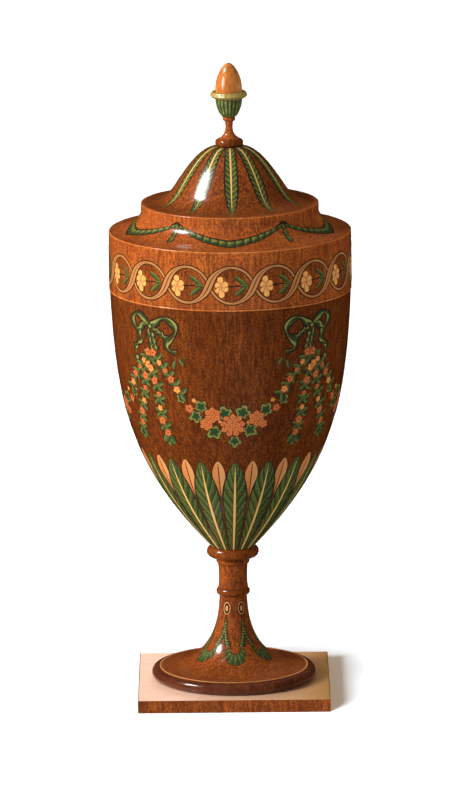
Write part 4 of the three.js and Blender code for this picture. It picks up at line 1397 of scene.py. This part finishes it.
class PaintLotus(bpy.types.Operator):
    """Paints the tall leaves round the foot of the bowl"""

    bl_idname = "knife_case.paint_lotus"
    bl_label = "Lotus leaves"

    def execute(self, context):
        leaves = context.scene.case_sizes.lotus_leaves
        bowl = Surface(bowl_line())
        half_step = math.pi / leaves
        painting = Painting()
        top, tip = 134.0, 136.0

        def green(u, v):
            distance = top * (1 - u) + 0.3
            radius = bowl.at(distance)[0]
            half = 13.4 * math.sin(math.pi / 2 * min(u / 0.36, 1.0)) ** 0.62
            return v * max(min(half, half_step * radius * 0.955), HAIR), distance

        def pale(u, v):
            distance = tip - 100 * u
            half = 7.6 * math.sin(math.pi / 2 * min(u / 0.17, 1.0)) ** 0.8
            return v * max(half, HAIR), distance

        painting.strip(bowl.spot(half_step, 0.0), pale, 1, GROUND, 26, 4)
        painting.strip(bowl.spot(0.0, 0.0), green, 0, BODY, 48, 6)
        painting.repeat(leaves)
        finishes = [
            leaf_paint(
                "paint_lotus_leaf", "green_light", "green_dark",
                Veins=9.0, Slope=1.9, Vein_Width=0.13,
                Rib_Start=0.045, Rib_Tip=0.03, Rib_Foot=0.18, Edge=0.12, Halves=-0.25,
            ),
            leaf_paint(
                "paint_lotus_tip", "tan", "wood_light", "outline",
                Veins=1.0, Slope=0.0, Vein_Width=0.0,
                Rib_Start=0.04, Rib_Tip=0.06, Rib_Foot=0.03, Edge=0.14, Halves=0.6,
            ),
        ]
        painting.finish("lotus_leaves", finishes, "case", "green_paint", 1.9)
        return {"FINISHED"}


class PaintBows(bpy.types.Operator):
    """Paints the ribbon bows on the bowl"""

    bl_idname = "knife_case.paint_bows"
    bl_label = "Ribbon bows"

    def execute(self, context):
        bowl = Surface(bowl_line())
        painting = Painting()
        ribbons = (
            ((0, 0), (-6.6, 5.0), (-14.5, 9.6), (-21.5, 9.0), (-25.6, 4.2), (-23.5, -1.6),
             (-18.6, -6.4), (-13.0, -4.2), (-9.9, 0), (0, 0.6)),
            ((-16.8, -7), (-14.3, -16.6), (-21.8, -23.6), (-23.5, -30)),
            ((-3.4, -3.8), (-0.8, -16.6), (0.8, -28.1)),
            ((1.7, -7), (4.2, -16.6), (6.7, -26.2)),
            ((0, 0), (7.6, 3.2), (13.4, 7.7), (20.2, 8.9), (28.6, 4.5), (31.9, -0.6),
             (30.2, -7), (24.4, -12.8), (20.2, -18.5), (22.7, -23.6), (31.1, -26.2)),
            ((3.4, -3.2), (11.8, -6.4), (20.2, -12.1)),
        )

        def twist(narrow, phase):
            """The half width of a ribbon that turns over as it runs."""
            return lambda u: narrow + 2.5 * math.sin(3 * math.pi * u + phase) ** 2

        for side, angle in BOWS:
            flat = bowl.spot(math.radians(angle), bowl.reaches(BOW_HEIGHT))

            def place(x, y, lift, flat=flat, side=side):
                return flat(side * x, y, lift)

            for i, points in enumerate(ribbons):
                path = smooth_path(points)
                lift = BODY + 0.012 * i
                painting.ribbon(place, path, twist(2.5, i), 3, lift - 0.03, 5 * len(points), 2)
                painting.ribbon(place, path, twist(1.4, i), 0, lift, 5 * len(points), 4)
            for x, y, size in ((-21.8, -36.7, 4.4), (11.0, -33.0, 4.0)):
                painting.disc(place, lobed(size, 6, 0.1), 1, BODY, 18, (x, y))
            painting.disc(place, lobed(3.6, 4, 0.15), 1, TOP, 12, (0, -1))
            for x, y, turn in ((35, -31, -2.6), (30, -34, -3.4)):
                bud = bowl.spot(
                    math.radians(angle) + side * x / mm("bowl"), bowl.reaches(BOW_HEIGHT) + y, side * turn
                )
                painting.strip(bud, leaf_shape(9.0, 2.6, 0.6, 0.6), 2, BODY, 8, 4)
        finishes = [
            leaf_paint(
                "paint_ribbon", "olive", "green_dark",
                Veins=3.0, Slope=0.6, Vein_Width=0.3, Rib_Start=NO_RIB, Edge=0.2, Halves=0.9,
            ),
            petal_paint("paint_berries", "green_dark", "outline", "olive", 0.4, 0.25),
            small_leaf(),
            dark_line(),
        ]
        painting.finish("ribbon_bows", finishes, "case", "green_paint")
        return {"FINISHED"}


class PaintGarlands(bpy.types.Operator):
    """Paints the garlands of flowers and ivy between the bows, and the chains under them"""

    bl_idname = "knife_case.paint_garlands"
    bl_label = "Garlands"

    def execute(self, context):
        bowl = Surface(bowl_line())
        painting = Painting()

        def blossom(angle, height, size, finish=1, turn=0.0):
            aside = 1.5 * math.sin(5.0 * turn)
            place = bowl.spot(angle, bowl.reaches(height), turn)
            edge = lobed(size * (1.0 + 0.22 * math.sin(2.3 * turn)), 5, 0.3, 0.8)
            painting.disc(place, edge, finish, TOP, 20, (aside, 0.0))

        def ivy(angle, height, size, turn=0.0):
            place = bowl.spot(angle, bowl.reaches(height), turn)

            def edge(at):
                from_tip = at - math.pi / 2
                lobes = 0.6 + 0.4 * abs(math.cos(2.5 * from_tip)) ** 1.3
                return size * lobes * (1.0 + 0.22 * math.cos(from_tip))

            painting.disc(place, edge, 2, BODY, 30)

        def leaf(angle, height, size, turn):
            place = bowl.spot(angle, bowl.reaches(height), turn)
            painting.strip(place, leaf_shape(size, size * 0.42, 0.6, 0.5), 3, BODY, 8, 4)

        def posy(angle, height, size):
            place = bowl.spot(angle, bowl.reaches(height))
            painting.disc(place, lobed(size, 7, 0.12), 4, BODY, 28)
            rings = ((9, 0.82), (6, 0.45), (1, 0.0)) if size > 9 else ((6, 0.62), (1, 0.0))
            floret = size * (0.31 if size > 9 else 0.42)
            for level, (number, out) in enumerate(rings):
                for i in range(number):
                    turn = TURN * (i + 0.5 * level) / number
                    centre = (size * out * math.sin(turn), size * out * math.cos(turn))
                    edge = lobed(floret, 4, 0.2, 1.0, turn)
                    painting.disc(place, edge, 0, TOP + OVERLAP * level + 0.005 * (i % 3), 12, centre)

        def along(points, step):
            path = smooth_path(points)
            parts = [path(i / 200) for i in range(201)]
            run, last = 0.0, parts[0]
            for here in parts:
                width = math.radians(here.x - last.x) * mm("bowl")
                run += math.hypot(width, here.y - last.y)
                last = here
                if run >= step:
                    run = 0.0
                    yield here

        def chain(path, step, angle_at, size, rise, leaf_size, turns):
            """Blossoms and bunches of leaves in turn along a path."""
            for i, here in enumerate(along(path, step)):
                angle = angle_at(here.x)
                if i % 2:
                    blossom(angle, here.y, size, 5 if i % 6 == 1 else 1, i)
                else:
                    for turn in turns:
                        leaf(angle, here.y + rise, leaf_size, turn)

        for middle, half in ((0, 42), (90, 48), (180, 42), (270, 48)):
            centre, stretch = math.radians(middle), half / 42

            def turn_to(x, height, centre=centre, stretch=stretch):
                return centre + stretch * x / bowl.at(bowl.reaches(height))[0]

            for x, height, size in (
                (1, 305, 12), (-19.5, 316, 9), (-26, 306, 7.5), (25.5, 312, 9), (32, 306, 5)
            ):
                posy(turn_to(x, height), height, size)
            for x, height, size, turn in (
                (-7, 317, 9, 0.3), (11, 318, 9, -0.3), (-17, 298, 9.5, 2.2), (18, 300, 9, -2.2),
                (3, 288, 7.5, 3.1), (-31, 324, 8, 0.6), (-36, 314, 8, 1.9), (35, 320, 8.5, -0.6),
                (-52, 332, 6.5, 0.9), (54, 330, 6.5, -0.9),
            ):
                ivy(turn_to(x, height), height, size, turn)
            for x, height, size, finish in (
                (-44, 322, 6, 1), (47, 322, 5.5, 1), (43, 331, 3.4, 5), (-39, 331, 3.4, 5),
                (17, 308, 2.6, 5), (-12, 309, 2.6, 5),
            ):
                blossom(turn_to(x, height), height, size, finish)
            for side in (-1, 1):
                path = [(24.5, 334), (28, 343), (32, 355), (36.5, 366), (40.5, 377)]
                turns = [side * (0.6 + turn) + 0.3 for turn in (-1.4, 0.5, 2.3)]
                angle_at = lambda x: centre + side * stretch * math.radians(x)
                chain(path, 5.4, angle_at, 4.7, -1, 9.0, turns)

        chains = (
            ((-0.5, 379), (-2.6, 366), (-5.0, 351), (-6.5, 339), (-9.0, 324), (-12.0, 311), (-16.0, 290)),
            ((0.6, 376), (-0.8, 359), (2.2, 340), (2.4, 322), (3.0, 305), (5.0, 288)),
        )
        for side, middle in BOWS:
            for path in chains:
                angle_at = lambda x: math.radians(middle + side * x)
                chain(path, 7.0, angle_at, 4.9, 2, 8.6, (-2.3, 2.3, -1.1, 1.1))
                end = path[-1]
                angle = math.radians(middle + side * end[0])
                for turn, size in ((2.5, 12.0), (-2.6, 12.5), (3.14, 14.0)):
                    leaf(angle, end[1] + 3, size, turn)
        finishes = [
            petal_paint("paint_floret", "orange", "rust", "rust", 0.22, 0.22),
            petal_paint("paint_blossom", "orange", "rust", "rust", 0.3, 0.3),
            petal_paint("paint_ivy", "olive", "outline", "green_dark", 0.6, 0.14),
            plain_paint("paint_spray_leaf", "green_light", "green_dark", 0.3, 0.9),
            petal_paint("paint_posy_ground", "rust", "outline", "rust", 0.0, 0.1),
            petal_paint("paint_yellow", "yellow", "rust", "orange", 0.35, 0.3),
        ]
        painting.finish("garlands", finishes, "case", "green_paint")
        return {"FINISHED"}


class PaintFoot(bpy.types.Operator):
    """Paints the husk loops and the ovals on the foot, and the light line round its edge"""

    bl_idname = "knife_case.paint_foot"
    bl_label = "Foot loops"

    def execute(self, context):
        loops = context.scene.case_sizes.foot_loops
        foot = Surface(foot_line())
        half_step = math.pi / loops
        painting = Painting()
        place = foot.spot(0.0, 0.0)

        def fan(u, v):
            turn = (u - 0.5) * math.radians(196)
            outer = 9.4 + 13.0 * max(math.cos(turn), 0.0) ** 1.3
            far = 7.6 + (outer - 7.6) * (1 - v) / 2
            return 0.84 * far * math.sin(turn), 58.0 - far * math.cos(turn)

        painting.strip(place, fan, 0, BODY, 40, 4)
        hang, oval = foot.reaches(78), foot.reaches(89)
        # The arms are drawn on the foot laid flat at one radius
        flat = 18.0
        for side in (-1, 1):
            points = [
                (side * 7.1 / foot.at(58)[0], 58.5),
                (side * 0.46, foot.reaches(64)),
                (side * half_step, hang),
            ]
            knots = [Vector((a * flat, d)) for a, d in points]
            path = smooth_path(knots)
            over = lambda x, y, lift: foot.point(x / flat, y, lift)
            painting.ribbon(over, path, lambda u: 2.3 - 1.0 * u, 2, BODY, 20, 2)
            painting.ribbon(over, path, lambda u: 1.5 - 0.9 * u, 1, BODY + 0.03, 20, 2)
        top = foot.spot(half_step, oval)
        line = smooth_path([(0, hang - oval - 3), (0, -5)])
        painting.ribbon(top, line, lambda u: 0.6, 2, BODY, 6)
        for wide, tall, finish, lift in (
            (4.8, 7.8, 2, GROUND), (3.9, 6.9, 3, BODY), (3.0, 5.8, 2, TOP), (1.3, 3.2, 3, FINE)
        ):
            edge = lambda a, w=wide, t=tall: w * t / math.hypot(t * math.cos(a), w * math.sin(a))
            painting.disc(top, edge, finish, lift, 24)
        painting.repeat(loops)
        finishes = [
            leaf_paint(
                "paint_fan_green", "green_light", "green_dark",
                Veins=9.0, Slope=0.0, Vein_Width=0.2, Rib_Start=NO_RIB, Edge=0.12, Halves=0.3,
            ),
            leaf_paint(
                "paint_loop_arm", "olive", "green_dark",
                Veins=10.0, Slope=0.1, Vein_Width=0.25, Rib_Start=NO_RIB, Edge=0.0, Halves=0.6,
            ),
            dark_line(),
            petal_paint("paint_tan", "tan", "tan", "tan", 0.0, 0.0),
        ]
        painting.finish("foot_loops", finishes, "case", "green_paint", 3.0)

        edge, rim = low("foot") / MM + 1.0, mm("foot")
        line = turned(
            [
                (rim - 1.3, edge - 0.3),
                (rim + 0.05, edge - 0.3),
                (rim + 0.05, edge + 0.1),
                (rim - 1.3, edge + 0.13),
            ],
            soften=0,
        )
        paint = petal_paint("paint_edge_line", "tan", "tan", "orange", 0.0, 0.0)
        finish_piece("foot_edge_line", line, [paint], "case")
        return {"FINISHED"}


def add_lamp(name, direction, spread_angle, power, shade=(1.0, 1.0, 1.0), gloss=True):
    """A broad light from far off in a direction; its width is an angle in radians."""
    light = bpy.data.lights.new(name, "SUN")
    light.energy = power
    light.color = shade
    light.angle = spread_angle
    lamp = bpy.data.objects.new(name, light)
    lamp.location = Vector(direction) + Vector((0.0, 0.0, 0.35))
    lamp.rotation_euler = Vector(direction).to_track_quat("Z", "Y").to_euler()
    lamp.visible_glossy = gloss
    bpy.context.scene.collection.objects.link(lamp)
    return lamp


def lit_set(name, pieces, state):
    """A set of pieces that a light is linked to, or that it leaves out."""
    group = bpy.data.collections.new(name)
    for piece in pieces:
        group.objects.link(piece)
    for item in group.collection_objects:
        item.light_linking.link_state = state
    return group


class MakeStage(bpy.types.Operator):
    """Makes the floor, the lights and the camera"""

    bl_idname = "knife_case.make_stage"
    bl_label = "Stage"

    def execute(self, context):
        scene = context.scene
        bm = bmesh.new()
        bmesh.ops.create_grid(bm, x_segments=2, y_segments=2, size=14.0)
        mesh = bpy.data.meshes.new("floor")
        bm.to_mesh(mesh)
        bm.free()
        material, tree, surface = new_finish("floor")
        place = add_node(tree, "TexCoord").outputs["Object"]
        patches = noise(tree, place, 1.5, 2.0, 0.5)
        pale = tint("floor")
        paler = tuple(min(1.0, channel * 1.03) for channel in pale[:3]) + (1.0,)
        tree.links.new(blend_colours(tree, patches, pale, paler), surface.inputs["Base Color"])
        surface.inputs["Roughness"].default_value = 0.9
        surface.inputs["Specular IOR Level"].default_value = 0.1
        mesh.materials.append(material)
        floor = bpy.data.objects.new("floor", mesh)
        floor.visible_glossy = False
        floor.visible_diffuse = False
        scene.collection.objects.link(floor)
        floor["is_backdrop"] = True

        world = bpy.data.worlds.new("studio")
        world.use_nodes = True
        background = world.node_tree.nodes["Background"]
        background.inputs["Color"].default_value = (1.0, 1.0, 1.0, 1.0)
        background.inputs["Strength"].default_value = 0.15
        scene.world = world
        world.cycles_visibility.glossy = False

        # The floor has its own lights, so that it stays pale round the case
        not_floor = lit_set("not_floor", [floor], "EXCLUDE")
        only_floor = lit_set("only_floor", [floor], "INCLUDE")
        stand = [frame["nodes"]["plinth"]]
        stand += [bpy.data.objects[name] for name in ("foot_ring_turned", "foot_trumpet")]
        low_pieces = lit_set("low_pieces", stand[:2], "INCLUDE")
        shade_makers = lit_set("shade_makers", stand, "INCLUDE")
        stand_only = lit_set("stand_only", stand, "INCLUDE")
        daylight, warm = (1.0, 0.98, 0.95), (1.0, 0.76, 0.48)
        gleam = add_lamp("gleam", (-0.7, -0.14, 0.7), 0.27, 3.9)
        gleam.visible_diffuse = False
        lamps = (
            gleam,
            add_lamp("key_light", (-0.75, -0.47, 0.41), 0.4, 5.6, daylight, False),
            add_lamp("front_light", (-0.1, -0.97, 0.2), 0.6, 0.75, daylight, False),
            add_lamp("right_rim_light", (0.91, 0.38, 0.05), 0.4, 2.8, (1.0, 0.93, 0.86), False),
            add_lamp("left_rim_light", (-0.97, 0.12, 0.1), 0.4, 4.0, warm, False),
            add_lamp("back_light", (0.1, 0.9, 0.42), 0.5, 2.2, (1.0, 0.97, 0.93), False),
        )
        for lamp in lamps:
            lamp.light_linking.receiver_collection = not_floor
        finial = [o for o in scene.objects if o.name.startswith(("finial_cup_", "finial_acorn_"))]
        sparkle = add_lamp("finial_light", (-0.79, -0.53, 0.22), 0.5, 4.0)
        sparkle.visible_diffuse = False
        sparkle.light_linking.receiver_collection = lit_set("finial_only", finial, "INCLUDE")
        bounce = add_lamp("bounce_light", (0.2, -0.72, -0.64), 0.8, 1.5, (1.0, 0.96, 0.94), False)
        bounce.light_linking.receiver_collection = not_floor
        bounce.light_linking.blocker_collection = not_floor
        over = add_lamp("stand_light", (-0.4, -0.3, 0.87), 0.5, 0.6, daylight, False)
        over.light_linking.receiver_collection = stand_only
        over.light_linking.blocker_collection = shade_makers
        wash = add_lamp("floor_wash", (0.0, -0.2, 1.0), 0.6, 0.85, (1.0, 0.74, 0.45), False)
        wash.data.use_shadow = False
        sweep = add_lamp("floor_sweep", (-0.5, -0.8, 0.15), 0.5, 25.0, (0.8, 0.9, 1.0), False)
        sweep.light_linking.blocker_collection = low_pieces
        for lamp in (wash, sweep):
            lamp.light_linking.receiver_collection = only_floor

        lens = bpy.data.cameras.new("camera")
        lens.sensor_fit = "VERTICAL"
        lens.sensor_height = FILM_HEIGHT
        lens.lens = FILM_HEIGHT * FOCAL_LENGTH / PICTURE_HEIGHT
        lens.clip_start = 0.5
        lens.clip_end = 100.0
        camera = bpy.data.objects.new("camera", lens)
        camera.location = CAMERA_PLACE
        aim = Vector((0.0, 0.0, AIM_HEIGHT)) - camera.location
        turn = aim.to_track_quat("-Z", "Y").to_euler()
        turn.rotate_axis("Z", math.radians(CAMERA_ROLL))
        camera.rotation_euler = turn
        scene.collection.objects.link(camera)
        scene.camera = camera
        scene.view_settings.view_transform = "Standard"
        return {"FINISHED"}


OPERATORS = (
    MakeStand,
    MakeBowl,
    MakeLid,
    MakeFinial,
    MakeFittings,
    PaintDome,
    PaintCove,
    PaintFrieze,
    PaintLotus,
    PaintBows,
    PaintGarlands,
    PaintFoot,
    MakeStage,
)


class CasePanel(bpy.types.Panel):
    """Lists the pieces of the knife case with their sizes and colours"""

    bl_idname = "VIEW3D_PT_knife_case"
    bl_label = "Knife Case"
    bl_space_type = "VIEW_3D"
    bl_region_type = "UI"
    bl_category = "Knife Case"

    def draw(self, context):
        layout = self.layout
        for operator in OPERATORS:
            layout.operator(operator.bl_idname)
        for group in (context.scene.case_sizes, context.scene.case_colours):
            box = layout.box()
            for name in group.__annotations__:
                box.prop(group, name)


CLASSES = (CaseSizes, CaseColours) + OPERATORS + (CasePanel,)


def register():
    for each in CLASSES:
        bpy.utils.register_class(each)
    bpy.types.Scene.case_sizes = bpy.props.PointerProperty(type=CaseSizes)
    bpy.types.Scene.case_colours = bpy.props.PointerProperty(type=CaseColours)


def unregister():
    del bpy.types.Scene.case_colours
    del bpy.types.Scene.case_sizes
    for each in reversed(CLASSES):
        bpy.utils.unregister_class(each)


def main():
    register()
    bpy.ops.knife_case.make_stand()
    bpy.ops.knife_case.make_bowl()
    bpy.ops.knife_case.make_lid()
    bpy.ops.knife_case.make_finial()
    bpy.ops.knife_case.make_fittings()
    bpy.ops.knife_case.paint_dome()
    bpy.ops.knife_case.paint_cove()
    bpy.ops.knife_case.paint_frieze()
    bpy.ops.knife_case.paint_lotus()
    bpy.ops.knife_case.paint_bows()
    bpy.ops.knife_case.paint_garlands()
    bpy.ops.knife_case.paint_foot()
    bpy.ops.knife_case.make_stage()
    boxes = {"cad": cad_box, "visual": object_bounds()}
    plain = {name: [[float(v) for v in corner] for corner in box] for name, box in boxes.items()}


if __name__ == "__main__":
    main()
